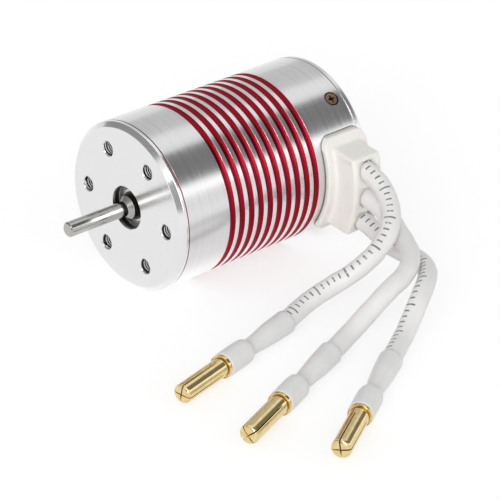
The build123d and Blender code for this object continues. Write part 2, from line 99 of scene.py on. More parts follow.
FINE_PITCH = 0.16 * MM  # from one turning line to the next
BAND_PITCH = 1.1 * MM  # from one faint band to the next
TICK_PITCH = 1.5 * MM  # of the printed scale
SLEEVE_SIDES = 56
SLEEVE_STEP = 0.25 * MM
SWELL_SCALE = 330  # swells of a sleeve in a metre
SWELL_SEED = Vector((7, 3, 1))
FLOOR_SIDE = 6.0
BOARD_LENGTH = 1.1
BOARD_DISTANCE = 0.6
ROOM_LEVEL = 0.87  # of the room that metal mirrors, away from overhead

# Ways from the motor to the boards that the mounting face's chamfer mirrors. The first ones are
# wider and darker.
CHAMFER_WAYS = (
    (0.46, -0.826, 0.3), (0.51, -0.826, 0.22), (0.56, -0.82, 0.13), (-0.09, -0.724, 0.684),
    (-0.2, -0.69, 0.696), (-0.39, -0.615, 0.685), (-0.56, -0.53, 0.635), (-0.71, -0.44, 0.55),
    (-0.84, -0.33, 0.43), (-0.92, -0.23, 0.31),
)
WIDE_BOARDS = 3

# Each lead's route: its straight way out of the wire block and then its free run to the boot.
LEAD_ROUTES = {
    "a": (
        (0.0199757, 0.0435, 0.0040038), (0.0254504, 0.0435, 0.0034767), (0.0313, 0.0429, 0.0008),
        (0.0363, 0.0397, -0.0021), (0.0389, 0.0344, -0.0052), (0.0385, 0.0286, -0.0084),
        (0.0354, 0.0240, -0.0119), (0.0342, 0.0181, -0.0142), (0.03553, 0.0122, -0.0154),
        (0.0370, 0.0063, -0.0154),
    ),
    "b": (
        (0.0194102, 0.0435, -0.0018690), (0.0248849, 0.0435, -0.0023961), (0.0310, 0.0433, -0.0038),
        (0.0367, 0.0420, -0.0065), (0.0425, 0.0393, -0.0070), (0.0466, 0.0343, -0.0079),
        (0.0480, 0.0279, -0.0089), (0.0480, 0.0224, -0.0122), (0.0484, 0.0168, -0.0149),
        (0.05038, 0.0109, -0.0154), (0.05276, 0.00497, -0.0154),
    ),
    "c": (
        (0.0188447, 0.0435, -0.0077418), (0.0243194, 0.0435, -0.0082689), (0.0323, 0.0429, -0.0107),
        (0.0398, 0.0435, -0.0105), (0.0467, 0.0404, -0.0098), (0.0522, 0.0329, -0.0100),
        (0.0552, 0.0258, -0.0148), (0.0592, 0.0190, -0.0154), (0.06326, 0.0124, -0.0154),
    ),
}
# Turn of each lead's printed line about the lead, and of each plug's slots, in degrees.
PRINT_TURNS = {"a": 25.0, "b": -120.0, "c": 26.0}
SLOT_TURNS = {"a": 8.0, "b": -37.0, "c": -8.0}


# --- Node trees ---
def maths_method(operation, reflected=False):
    """Method that adds the Math node of a Python operator."""

    def apply(self, other):
        return self.maths(operation, *((other, self) if reflected else (self, other)))

    return apply


class Link:
    """A socket of a node tree that takes part in Python sums."""

    def __init__(self, tree, socket):
        self.tree = tree
        self.socket = socket

    def maths(self, operation, *values):
        return self.tree.add("ShaderNodeMath", {"operation": operation}, dict(enumerate(values)))

    __add__, __radd__ = maths_method("ADD"), maths_method("ADD", True)
    __sub__, __rsub__ = maths_method("SUBTRACT"), maths_method("SUBTRACT", True)
    __mul__, __rmul__ = maths_method("MULTIPLY"), maths_method("MULTIPLY", True)
    __truediv__, __pow__ = maths_method("DIVIDE"), maths_method("POWER")
    __mod__, most = maths_method("FLOORED_MODULO"), maths_method("MAXIMUM")
    __lt__, __gt__ = maths_method("LESS_THAN"), maths_method("GREATER_THAN")

    def __abs__(self):
        return self.maths("ABSOLUTE", self)

    def ramp(self, low, high):
        """0 below low, 1 above high and smooth between them. The limits may be either way round."""
        return self.tree.add(
            "ShaderNodeMapRange",
            {"interpolation_type": "SMOOTHSTEP"},
            {"Value": self, "From Min": low, "From Max": high},
        )


class Tree:
    """Adds nodes to a node tree."""

    def __init__(self, tree):
        self.tree = tree

    def add(self, kind, settings=None, sockets=None, output=0):
        """New node: its settings come first, then its sockets. A tuple asks for several outputs."""
        node = self.tree.nodes.new(kind)
        for name, value in (settings or {}).items():
            setattr(node, name, value)
        for name, value in (sockets or {}).items():
            self.feed(node.inputs[name], value)
        if isinstance(output, tuple):
            return [Link(self, node.outputs[name]) for name in output]
        return Link(self, node.outputs[output]) if node.outputs else node

    def feed(self, socket, value):
        if isinstance(value, Link):
            self.tree.links.new(value.socket, socket)
        else:
            socket.default_value = value

    def split(self, vector):
        return self.add("ShaderNodeSeparateXYZ", None, {0: vector}, output=(0, 1, 2))

    def rays(self):
        """Masks of the rays that the camera sends, and of those that metal or glass sends on."""
        names = ("Is Camera Ray", "Is Glossy Ray", "Is Transmission Ray")
        camera, glossy, clear = self.add("ShaderNodeLightPath", output=names)
        return camera, glossy.most(clear) * (1 - camera)


class Finish(Tree):
    """A material with one principled shader and the patterns that feed it."""

    def __init__(self, name, **sockets):
        self.material = bpy.data.materials.new(name)
        self.material.use_nodes = True
        super().__init__(self.material.node_tree)
        self.shader = self.tree.nodes["Principled BSDF"]
        self.set(**sockets)

    def set(self, **sockets):
        """Values or links of the shader's sockets, named with _ for a space. Gives the material."""
        for name, value in sockets.items():
            title = name.replace("_", " ").title().replace("Ior", "IOR")
            self.feed(self.shader.inputs[title], value)
        return self.material

    def place(self):
        """The point's own coordinates: x, y and z, in metres."""
        return self.split(self.add("ShaderNodeTexCoord", output="Object"))

    def polar(self):
        """The point's distance from the motor's axis, and its place along it."""
        x, y, z = self.place()
        return (x * x + z * z) ** 0.5, y

    def surface(self):
        """Share of the way round and metres along, from the piece's own UV map."""
        return self.split(self.add("ShaderNodeTexCoord", output="UV"))[:2]

    def lines(self, along, pitch, detail=2.0):
        """Noise in one direction, from 0 to 1, with lines about one pitch apart."""
        return self.add(
            "ShaderNodeTexNoise",
            {"noise_dimensions": "1D"},
            {"W": along, "Scale": 1 / pitch, "Detail": detail},
        )

    def cloud(self, size, detail=3.0):
        """Noise in space, from 0 to 1, with patches of about this size."""
        point = self.add("ShaderNodeTexCoord", output="Object")
        sockets = {"Scale": 1 / size, "Detail": detail, "Vector": point}
        return self.add("ShaderNodeTexNoise", None, sockets)

    def mix(self, factor, one, two):
        """Colour between two colours."""
        sockets = {0: factor, 6: one, 7: two}
        return self.add("ShaderNodeMix", {"data_type": "RGBA"}, sockets, output=2)

    def tones(self, factor, colour, low, high=1.0):
        """Colour between a low and a high share of one colour."""
        return self.mix(factor, rgb(colour, low), rgb(colour, high))

    def bump(self, height, depth):
        """Normal of a relief that is depth metres from low to high."""
        sockets = {"Height": height, "Distance": depth, "Strength": 1.0}
        return self.add("ShaderNodeBump", None, sockets)


def rgb(colour, share=1.0):
    """Shader colour of three numbers, each times the share."""
    return (*(part * share for part in colour), 1.0)


# --- Finishes ---
def turned_metal(name, colour, roughness, line_depth, seam=None):
    """Bare metal from a lathe: fine lines, faint bands, and a ring of painted shade where it meets
    a seam.
    """
    finish = Finish(name, metallic=1.0)
    _, along = finish.surface()
    bands = finish.lines(along, BAND_PITCH, detail=3.0)
    patches = finish.cloud(7 * MM)
    tone = finish.tones(bands * 0.5 + patches * 0.5, colour, 0.93)
    if seam is not None:
        _, y, _ = finish.place()
        # Painted shade: a darker ring where the metal meets the seam.
        tone = finish.mix(y.ramp(seam + 0.24 * MM, seam + 0.18 * MM), tone, rgb(colour, 0.6))
    return finish.set(
        base_color=tone,
        roughness=roughness + 0.06 * (bands + patches - 1),
        normal=finish.bump(finish.lines(along, FINE_PITCH), line_depth),
    )


def can_metal(name, sizes, colours):
    """Turned can whose grooves and front edge keep their crimson anodising, with painted shade in
    the screw seats and a faint line of painted shade at the rear edge.
    """
    finish = Finish(name, metallic=1.0)
    radius, y = finish.polar()
    _, along = finish.surface()
    cut_skin = CAN_RADIUS - 0.4 * sizes.fin_break
    in_groove = radius.ramp(cut_skin + 0.01 * MM, cut_skin - 0.01 * MM) * (y < GROOVES_END)
    # Painted shade: near black in the screw seats, and a faint dark line at the rear edge.
    seat_shade = radius.ramp(CAN_RADIUS - 0.01 * MM, CAN_RADIUS - 0.03 * MM)
    seat_shade = seat_shade * (y > GROOVES_END) * (y < SEATS_END)
    rear_edge_shade = y.ramp(REAR_SEAM - 0.16 * MM, REAR_SEAM - 0.12 * MM)
    at_front_edge = y.ramp(FRONT_SEAM + 0.13 * MM, FRONT_SEAM + 0.1 * MM)
    dyed = in_groove.most(at_front_edge)
    bands = finish.lines(along, 0.9 * MM, detail=3.0)
    grain = finish.cloud(0.12 * MM, detail=2.0)
    patches = finish.cloud(9 * MM)
    bare = finish.tones(bands * 0.7 + patches * 0.3, colours.aluminium, 0.82, 1.04)
    dye = finish.tones(grain, colours.anodising, 0.48)
    dye = finish.mix(at_front_edge, dye, rgb(colours.anodising, 0.45))
    skin = finish.mix(dyed, bare, dye)
    # Colour of the painted shade in the seats and at the rear edge.
    seat_and_seam_shade = rgb((0.03, 0.022, 0.018))
    return finish.set(
        base_color=finish.mix(seat_shade.most(rear_edge_shade * 0.3), skin, seat_and_seam_shade),
        roughness=0.2 + 0.1 * (bands - 0.5) + 0.06 * patches + dyed * (0.1 + 0.1 * (grain - 0.5)),
        normal=finish.bump(finish.lines(along, FINE_PITCH) + dyed * grain, 1.6e-6),
    )


def sleeve_plastic(name, colours, printed):
    """White sleeving, a little cloudy, with a plain printed length scale when it has one."""
    finish = Finish(
        name, roughness=0.42, subsurface_weight=0.25, subsurface_radius=(1.0, 0.9, 0.8),
        subsurface_scale=0.8 * MM, specular_ior_level=0.4,
    )
    around, along = finish.surface()
    skin = finish.tones(finish.cloud(3.5 * MM), colours.sleeve, 0.94)
    if printed:
        across = abs((around + 0.5) % 1.0 - 0.5)
        nearness = abs((along / TICK_PITCH) % 1.0 - 0.5)
        fifth = abs((along / (5 * TICK_PITCH)) % 1.0 - 0.5) < 0.1
        worn = finish.cloud(0.7 * MM).ramp(0.3, 0.5)
        mark = nearness.ramp(0.15, 0.1) * (across < 0.05 + 0.05 * fifth) * (0.45 + 0.55 * worn)
        skin = finish.mix(mark, skin, rgb(colours.print_ink))
    folds = finish.cloud(1.6 * MM, detail=4.0)
    return finish.set(base_color=skin, normal=finish.bump(folds, 0.05 * MM))


def moulded_plastic(name, colour):
    """Ivory moulding with a faint spark texture and painted shade along the gap against the can."""
    finish = Finish(name, roughness=0.45, subsurface_weight=0.15, subsurface_scale=0.8 * MM)
    radius, _ = finish.polar()
    # Painted shade along the gap between the flange and the can.
    gap_shade = radius.ramp(CAN_RADIUS + 0.32 * MM, CAN_RADIUS + 0.12 * MM)
    skin = finish.tones(finish.cloud(6 * MM), colour, 0.95)
    return finish.set(
        base_color=finish.mix(gap_shade * 0.85, skin, rgb((0.16, 0.14, 0.1))),
        normal=finish.bump(finish.cloud(0.25 * MM), 0.006 * MM),
    )


def plain_finish(name, colour, roughness, metallic, size, depth):
    """Finish with patches of tone and a fine relief, for pieces inside the can."""
    finish = Finish(name, metallic=metallic)
    fine = finish.cloud(size / 8)
    return finish.set(
        base_color=finish.tones(finish.cloud(size), colour, 0.8),
        roughness=roughness + 0.15 * (fine - 0.5),
        normal=finish.bump(fine, depth),
    )


def gold_plate(name, colour):
    """Bright gold plating, a little darker in patches."""
    finish = Finish(name, metallic=1.0)
    fine = finish.cloud(0.3 * MM, detail=4.0)
    return finish.set(
        base_color=finish.tones(finish.cloud(1.1 * MM).ramp(0.3, 0.75), colour, 0.88),
        roughness=0.16 + 0.08 * (fine - 0.5),
        normal=finish.bump(fine, 0.0015 * MM),
    )


# --- Meshes ---
def new_object(name, data):
    piece = bpy.data.objects.new(name, data)
    bpy.context.scene.collection.objects.link(piece)
    return piece


def from_bmesh(name, mesh):
    """New object with the mesh that was built, which is freed."""
    data = bpy.data.meshes.new(name)
    mesh.to_mesh(data)
    mesh.free()
    return new_object(name, data)


def shade(piece, angle=32.0):
    """Smooth shading that stays sharp at edges above the angle."""
    piece.data.shade_smooth()
    piece.data.set_sharp_from_angle(angle=math.radians(angle))
    return piece


def even_turns(phase, count):
    """Angles at even steps round a circle, from the first one."""
    return [phase + number * 2 * math.pi / count for number in range(count)]


def rounded(points, steps=4):
    """Outline with its corners rounded. A point is (radius, y) or (radius, y, rounding)."""
    outline = []
    for index, point in enumerate(points):
        corner = Vector(point[:2])
        if len(point) < 3:
            outline.append(tuple(corner))
            continue
        before = Vector(points[index - 1][:2]) - corner
        after = Vector(points[(index + 1) % len(points)][:2]) - corner
        start = corner + before.normalized() * min(point[2], before.length / 2)
        end = corner + after.normalized() * min(point[2], after.length / 2)
        for step in range(steps + 1):
            t = step / steps
            outline.append(tuple((1 - t) ** 2 * start + 2 * t * (1 - t) * corner + t**2 * end))
    return outline


def skin_rings(mesh, rings, lengths=None, closed=False):
    """Faces between rings of points, with u round the rings and v from their lengths, if given."""
    uv = mesh.loops.layers.uv.new("surface") if lengths else None
    pairs = zip(rings, rings[1:] + rings[:1]) if closed else zip(rings, rings[1:])
    for index, (ring, other) in enumerate(pairs):
        sides = max(len(ring), len(other))
        for side in range(sides if sides > 1 else 0):
            after = (side + 1) % sides
            points, places = [], []
            for across, up in ((0, 0), (1, 0), (1, 1), (0, 1)):
                which = other if up else ring
                point = which[(after if across else side) % len(which)]
                if point not in points:
                    points.append(point)
                    places.append(((side + across) / sides, lengths[index + up] if lengths else 0))
            face = mesh.faces.new(points)
            if lengths:
                for loop, place in zip(face.loops, places):
                    loop[uv].uv = place
    if not closed:
        mesh.faces.new(rings[0])
        mesh.faces.new(rings[-1])
    bmesh.ops.recalc_face_normals(mesh, faces=mesh.faces)


def lathe(name, outline, segments=BODY_SEGMENTS, place=Matrix.Identity(4), wobble=None):
    """Closed piece turned about its own y axis, with u round it and v along its outline."""
    mesh = bmesh.new()
    lengths = [0.0]
    for one, two in zip(outline, outline[1:] + outline[:1]):
        lengths.append(lengths[-1] + math.dist(one, two))
    rings = []
    for radius, y in outline:
        ring = []
        for turn in even_turns(0.0, segments)[: None if radius > POLE_RADIUS else 1]:
            r = radius + (wobble(turn, y) if wobble else 0.0)
            ring.append(mesh.verts.new((r * math.cos(turn), y, r * math.sin(turn))))
        rings.append(ring)
    skin_rings(mesh, rings, lengths, closed=True)
    piece = from_bmesh(name, mesh)
    piece.data.transform(place)
    return shade(piece)


def settle(piece):
    """The piece with its modifiers made part of its mesh."""
    depsgraph = bpy.context.evaluated_depsgraph_get()
    mesh = bpy.data.meshes.new_from_object(piece.evaluated_get(depsgraph), depsgraph=depsgraph)
    piece.modifiers.clear()
    old = piece.data
    piece.data = mesh
    bpy.data.meshes.remove(old)
    mesh.name = piece.name


def cut(piece, cutters):
    """Takes the cutters out of the piece and removes them."""
    for cutter in cutters:
        modifier = piece.modifiers.new("cut", "BOOLEAN")
        modifier.operation = "DIFFERENCE"
        modifier.solver = "EXACT"
        modifier.object = cutter
    settle(piece)
    for cutter in cutters:
        mesh = cutter.data
        bpy.data.objects.remove(cutter)
        bpy.data.meshes.remove(mesh)
    return shade(piece)


def turned_normals(piece):
    """Exact normals on every face that was turned about the y axis, also where it was cut."""
    mesh = piece.data
    normals = [corner.vector.copy() for corner in mesh.corner_normals]
    for face in mesh.polygons:
        middle = Vector((face.center.x, 0, face.center.z))
        if middle.length < 1e-6:
            continue
        out = middle.normalized()
        if abs(face.normal.dot(Vector((0, 1, 0)).cross(out))) > TURNED_TILT:
            continue
        steep = face.normal.dot(out)
        for corner in face.loop_indices:
            spot = mesh.vertices[mesh.loops[corner].vertex_index].co
            here = Vector((spot.x, 0, spot.z))
            if here.length > 1e-6:
                normal = here.normalized() * steep + Vector((0, face.normal.y, 0))
                normals[corner] = normal.normalized()
    mesh.normals_split_custom_set(normals)


def bevel_rims(piece):
    """Breaks the sharp edges of a small piece."""
    modifier = piece.modifiers.new("rims", "BEVEL")
    modifier.width = 0.03 * MM
    modifier.segments = 2
    modifier.limit_method = "ANGLE"
    modifier.angle_limit = math.radians(50)
    settle(piece)
    shade(piece, 40)


def basic_shape(name, make, place, **options):
    """New object with one of bmesh's own shapes at its place."""
    mesh = bmesh.new()
    make(mesh, matrix=place, **options)
    return from_bmesh(name, mesh)


def prism(name, sides, place):
    """Block of the given full sizes, centred on its place."""
    return basic_shape(name, bmesh.ops.create_cube, place @ Matrix.Diagonal((*sides, 1)), size=1.0)


def stage_sheet(name, width, depth, place, material):
    """Flat sheet for the floor and the boards, centred on its place."""
    sheet = basic_shape(
        name, bmesh.ops.create_grid, place @ Matrix.Diagonal((width, depth, 1, 1)),
        x_segments=1, y_segments=1, size=0.5,
    )
    sheet.data.materials.append(material)
    return sheet


def polar_tree():
    """Geometry nodes that repeat a piece about the motor's axis."""
    group = bpy.data.node_groups.new("repeat_about_axis", "GeometryNodeTree")
    group.interface.new_socket("Geometry", in_out="OUTPUT", socket_type="NodeSocketGeometry")
    inputs = {"Geometry": "Geometry", "Count": "Int", "Phase": "Float", "Material": "Material"}
    for name, kind in inputs.items():
        group.interface.new_socket(name, in_out="INPUT", socket_type=f"NodeSocket{kind}")
    tree = Tree(group)
    shape, count, phase, material = tree.add("NodeGroupInput", output=(0, 1, 2, 3))
    points = tree.add("GeometryNodePoints", None, {"Count": count})
    index = tree.add("GeometryNodeInputIndex")
    turn = -1 * (phase + index * (2 * math.pi) / count)
    rotation = tree.add("ShaderNodeCombineXYZ", None, {1: turn})
    sockets = {"Points": points, "Instance": shape, "Rotation": rotation}
    copies = tree.add("GeometryNodeInstanceOnPoints", None, sockets)
    real = tree.add("GeometryNodeRealizeInstances", None, {"Geometry": copies})
    coated = tree.add("GeometryNodeSetMaterial", None, {"Geometry": real, "Material": material})
    tree.add("NodeGroupOutput", None, {0: coated})
    return group


def repeat_about_axis(piece, count, phase, material):
    """Repeats a piece about the motor's axis, phase and turns counted from +X towards +Z."""
    group = bpy.data.node_groups.get("repeat_about_axis") or polar_tree()
    modifier = piece.modifiers.new("repeat", "NODES")
    modifier.node_group = group
    values = {"Count": count, "Phase": phase, "Material": material}
    for item in group.interface.items_tree:
        if item.name in values:
            modifier[item.identifier] = values[item.name]
    settle(piece)
    return shade(piece)


def dress(piece, material, body, slot, *replaced):
    """Gives a finished piece its material and its body, and hides the nodes that it stands for. Its
    slot is not used.
    """
    piece.data.materials.clear()
    piece.data.materials.append(material)
    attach(piece, body)
    if replaced:
        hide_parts(*replaced)
    return piece


def paint(material, *names):
    """Gives CAD nodes that keep their own shape a material."""
    for name in names:
        slots = NODES[name].material_slots
        if not slots:
            NODES[name].data.materials.append(material)
        for slot in slots:
            slot.material = material


# --- Sizes and colours that a user would change ---
def length(name, description, millimetres):
    return bpy.props.FloatProperty(
        name=name, description=description, default=millimetres * MM, min=0.0, unit="LENGTH",
        precision=5,
    )


def angle(name, description, degrees):
    return bpy.props.FloatProperty(
        name=name, description=description, default=math.radians(degrees), subtype="ANGLE"
    )


def colour(name, description, default):
    return bpy.props.FloatVectorProperty(
        name=name, description=description, default=default, min=0.0, max=1.0, subtype="COLOR"
    )


def level(name, description, default):
    return bpy.props.FloatProperty(name=name, description=description, default=default, min=0.0)


def number_of(name, description, default, most):
    return bpy.props.IntProperty(
        name=name, description=description, default=default, min=1, max=most
    )


class CanSizes(bpy.types.PropertyGroup):
    """Sizes of the can and its cooling grooves"""

    wall: length("Wall", "Thickness of the can's wall", 1.5)
    edge_break: length("Edge Break", "Chamfer on the can's two ends", 0.15)
    first_groove: length("First Groove", "Distance of the first groove from the face", 12.31)
    groove_pitch: length("Groove Pitch", "Distance from one groove to the next", 2.485)
    groove_width: length("Groove Width", "Width of each groove", 1.36)
    groove_depth: length("Groove Depth", "Depth of each groove", 0.45)
    fin_break: length("Fin Break", "Chamfer on the edges of the fins", 0.1)
    groove_count: number_of("Groove Count", "Number of cooling grooves", 10, 14)
    window_length: length("Window Length", "Length of the lead window along the motor", 6.8)
    window_height: length("Window Height", "Width of the lead window round the can", 16.8)


class EndSizes(bpy.types.PropertyGroup):
    """Sizes of the end bells, their screws and threads"""

    front_chamfer: length("Front Chamfer", "Chamfer round the mounting face", 1.05)
    front_depth: length("Front Depth", "Depth of the front bell inside the can", 6.5)
    front_opening: length("Front Opening", "Diameter of the opening round the shaft", 9.1)
    opening_break: length("Opening Break", "Chamfer on the front opening", 0.1)
    rear_chamfer: length("Rear Chamfer", "Chamfer round the rear face", 0.8)
    rear_opening: length("Rear Opening", "Diameter of the opening at the rear", 7.0)
    rear_depth: length("Rear Depth", "Depth of the rear bell inside the can", 7.0)
    rear_web: length("Rear Web", "Thickness of the rear face", 3.0)
    rear_spigot: length("Rear Spigot", "Wall of the rear bell's spigot", 3.0)
    rear_hub_depth: length("Rear Hub Depth", "Depth of the rear bearing's hub", 6.0)
    rear_hub_wall: length("Rear Hub Wall", "Wall round the rear bearing", 2.0)
    bearing_lip: length("Rear Lip", "Thickness of the lip behind the rear bearing", 1.0)
    hole_phase: angle("Hole Phase", "Turn of the first mounting hole from the lead side", -3.0)
    hole_depth: length("Hole Depth", "Depth of the mounting holes", 5.0)
    hole_mouth: length("Hole Mouth", "Radius of the countersink at a hole's mouth", 1.7)
    thread_pitch: length("Thread Pitch", "Pitch of the thread in the mounting holes", 0.5)
    thread_crest: length("Thread Crest", "Radius of the thread's crest", 1.24)
    screw_phase: angle("Screw Phase", "Turn of the first housing screw from the lead side", 52.6)
    screw_inset: length("Screw Inset", "Distance of the screws from the rear face", 4.4)
    screw_head: length("Screw Head", "Radius of a screw's head", 1.5)
    screw_sink: length("Screw Sink", "Depth of a screw's head below the can", 0.07)
    screw_count: number_of("Screw Count", "Number of housing screws", 3, 6)


class LeadSizes(bpy.types.PropertyGroup):
    """Sizes of the leads, their boots and the bullet plugs"""

    sleeve: length("Sleeve", "Diameter of each lead's sleeve", 4.0)
    unevenness: length("Unevenness", "Height of the swells and dents in a sleeve", 0.1)
    boot: length("Boot", "Diameter of a boot over its plug", 5.2)
    boot_end: length("Boot End", "Distance of a boot's open end from the lead's end", 15.9)
    cup: length("Cup", "Diameter of a plug's solder cup", 4.5)
    collar: length("Collar", "Diameter of a plug's collar", 4.9)
    pin: length("Pin", "Diameter of a plug's pin", 4.0)
    pin_length: length("Pin Length", "Length of a plug's pin with its nose", 12.8)
    slot_width: length("Slot Width", "Width of the slots in a pin", 0.28)
    slot_length: length("Slot Length", "Length of the slots in a pin", 11.0)


class Colours(bpy.types.PropertyGroup):
    """Colours of the motor"""

    aluminium: colour("Aluminium", "Polished aluminium of the can and bells", (0.83, 0.83, 0.84))
    anodising: colour("Anodising", "Crimson anodising in the grooves", (0.42, 0.012, 0.03))
    steel: colour("Steel", "Shaft and bearings", (0.54, 0.53, 0.51))
    screw: colour("Screw", "Bronze tint of the housing screws", (0.46, 0.3, 0.2))
    shield: colour("Shield", "Pressed shields of the bearings", (0.5, 0.5, 0.5))
    # Painted shade: the near black of the shim before the front bearing and of the shaft behind its
    # cone.
    recess_shade: colour("Oil", "Oiled shim, and the shaft behind its cone", (0.05, 0.04, 0.033))
    ivory: colour("Ivory", "Moulded wire block", (0.89, 0.87, 0.83))
    sleeve: colour("Sleeve", "Sleeves and boots", (0.86, 0.85, 0.84))
    print_ink: colour("Print Ink", "Printed scale on the sleeves", (0.2, 0.2, 0.21))
    gold: colour("Gold", "Plating of the bullet plugs", (0.86, 0.69, 0.36))
    copper: colour("Copper", "Enamelled windings", (0.6, 0.2, 0.06))
    brass: colour("Brass", "Bearing cages and balance rings", (0.72, 0.5, 0.2))
    tin: colour("Tin", "Tinned wire and solder", (0.66, 0.66, 0.67))


class Studio(bpy.types.PropertyGroup):
    """Light and floor round the motor"""

    ambient: level("Ambient", "Strength of the even light from all round", 0.95)
    overhead: level("Overhead", "Brightness that metal mirrors from above", 0.98)
    lamp: level("Lamp", "Strength of the soft lamp", 1.25)
    floor: colour("Floor", "Floor under the motor", (0.93, 0.93, 0.93))
    side_level: level("Side Level", "Brightness of the dark board beside the motor", 0.2)
    strip_level: level("Strip Level", "Brightness of the strip that the can mirrors", 1.45)
    far_level: level("Far Level", "Brightness of the grey board beyond the motor", 0.62)
    chamfer_level: level("Chamfer Level", "Brightness of the boards for the chamfer", 0.28)


PROPERTIES = {
    "motor_can": CanSizes,
    "motor_ends": EndSizes,
    "motor_leads": LeadSizes,
    "motor_colours": Colours,
    "motor_studio": Studio,
}


def settings(context):
    """The motor's sizes and colours, in the order of PROPERTIES and without the studio's."""
    return [getattr(context.scene, name) for name in list(PROPERTIES)[:4]]


# --- Leads, boots and plugs ---
def route_line(name, points):
    """Points read from the route's NURBS spline."""
    curve = bpy.data.curves.new(name, "CURVE")
    curve.dimensions = "3D"
    curve.resolution_u = 24
    spline = curve.splines.new("NURBS")
    spline.points.add(len(points) - 1)
    for control, point in zip(spline.points, points):
        control.co = (*point, 1.0)
    spline.order_u = 3
    spline.use_endpoint_u = True
    route = bpy.data.objects.new(name, curve)
    mesh = bpy.data.meshes.new_from_object(route)
    line = [vertex.co.copy() for vertex in mesh.vertices]
    bpy.data.objects.remove(route)
    bpy.data.curves.remove(curve)
    bpy.data.meshes.remove(mesh)
    return line


def even_steps(line, step):
    """Points and directions at even steps along a line, and its length."""
    runs = [(after - before).length for before, after in zip(line, line[1:])]
    total = sum(runs)
    count = max(2, round(total / step))
    spots = []
    index, passed = 0, 0.0
    for number in range(count + 1):
        goal = total * number / count
        while index < len(runs) - 1 and passed + runs[index] < goal:
            passed += runs[index]
            index += 1
        spots.append(line[index].lerp(line[index + 1], (goal - passed) / runs[index]))
    ways = [(after - before).normalized() for before, after in zip(spots, spots[1:])]
    middle = [(one + two).normalized() for one, two in zip(ways, ways[1:])]
    return spots, [ways[0], *middle, ways[-1]], total


def tube(name, line, radius, swell, turn):
    """Closed tube along a line, with u round it from its turned top and v in metres along it."""
    spots, ways, total = even_steps(line, SLEEVE_STEP)
    mesh = bmesh.new()
    up = Vector((0, 0, 1))
    rings = []
    for spot, way in zip(spots, ways):
        up = (up - way * up.dot(way)).normalized()
        side = way.cross(up)
        ring = []
        for around in even_turns(turn, SLEEVE_SIDES):
            out = math.cos(around) * up + math.sin(around) * side
            dent = swell * noise.noise((spot + out * radius) * SWELL_SCALE + SWELL_SEED)
            ring.append(mesh.verts.new(spot + out * (radius + dent)))
        rings.append(ring)
    skin_rings(mesh, rings, [total * index / (len(rings) - 1) for index in range(len(rings))])
    return shade(from_bmesh(name, mesh), 50), total


def frame_at(x, y, z, spot):
    """Place with these axes at a spot."""
    place = Matrix((x, y, z)).transposed().to_4x4()
    place.translation = spot
    return place


def plug_place(phase):
    """Place of a plug: its own y runs out along the pin, z is up and y = 0 is the lead's end."""
    along = PLUG_AXES[phase]
    up = Vector((0, 0, 1))
    return frame_at(along.cross(up), along, up, Vector(LEAD_ROUTES[phase][-1]))


def boot(phase, sizes, material):
    """Shrunk boot over the end of a lead and its plug's cup. Its outline is in millimetres."""
    over = sizes.boot / 2 / MM
    outline = [
        (2.1, -5.3), (2.26, -5.34), (2.46, -5.2), (2.47, -4.4), (2.42, -3.2), (2.38, -1.9),
        (2.34, -0.6), (2.28, 0.7), (2.16, 2.1), (2.02, 3.5), (1.92, 4.8), (1.84, 6.0), (1.8, 7.0),
        (1.82, 7.6), (1.94, 8.0), (2.2, 8.35), (2.46, 8.7), (2.56, 9.2), (over, 9.9), (over, 12.0),
        (over - 0.02, 14.0), (over, 15.3), (over - 0.03, 15.66), (over - 0.12, 15.88),
        (2.38, 15.9), (2.27, 15.8), (2.26, 8.95), (1.52, 8.9), (1.52, 0.0), (2.1, 0.0),
    ]
    seed = Vector((ord(phase) * 3.1, 5.0, 2.0))
    first, last = -5.2, 15.6  # the dents lie between the boot's ends
    neck, neck_reach = 4.5, 5.5  # middle and half length of the narrow part

    def dents(turn, y):
        """Soft dents and lengthwise folds, most of all where the boot narrows."""
        y /= MM
        if not first < y < last:
            return 0.0
        narrow = max(0.0, 1 - abs(y - neck) / neck_reach)
        out = Vector((math.cos(turn), 0, math.sin(turn)))
        dent = noise.noise(out * 1.3 + Vector((0, y * 0.33, 0)) + seed)
        fold = noise.noise(out * 3.2 + Vector((0, y * 0.12, 0)) - seed)
        return (0.1 * dent * (0.25 + narrow) + 0.07 * fold * narrow - 0.03) * MM

    dense = []
    for one, two in zip(outline, outline[1:] + outline[:1]):
        outside = one[0] > 1.8 and two[0] > 1.8
        parts = max(1, round(math.dist(one, two) / 0.5)) if outside else 1
        for part in range(parts):
            dense.append([(a + (b - a) * part / parts) * MM for a, b in zip(one, two)])
    piece = shade(lathe(f"sleeve_boot_{phase}", dense, 72, plug_place(phase), dents), 60)
    return dress(piece, material, "housing", "sleeve", f"boot_{phase}")


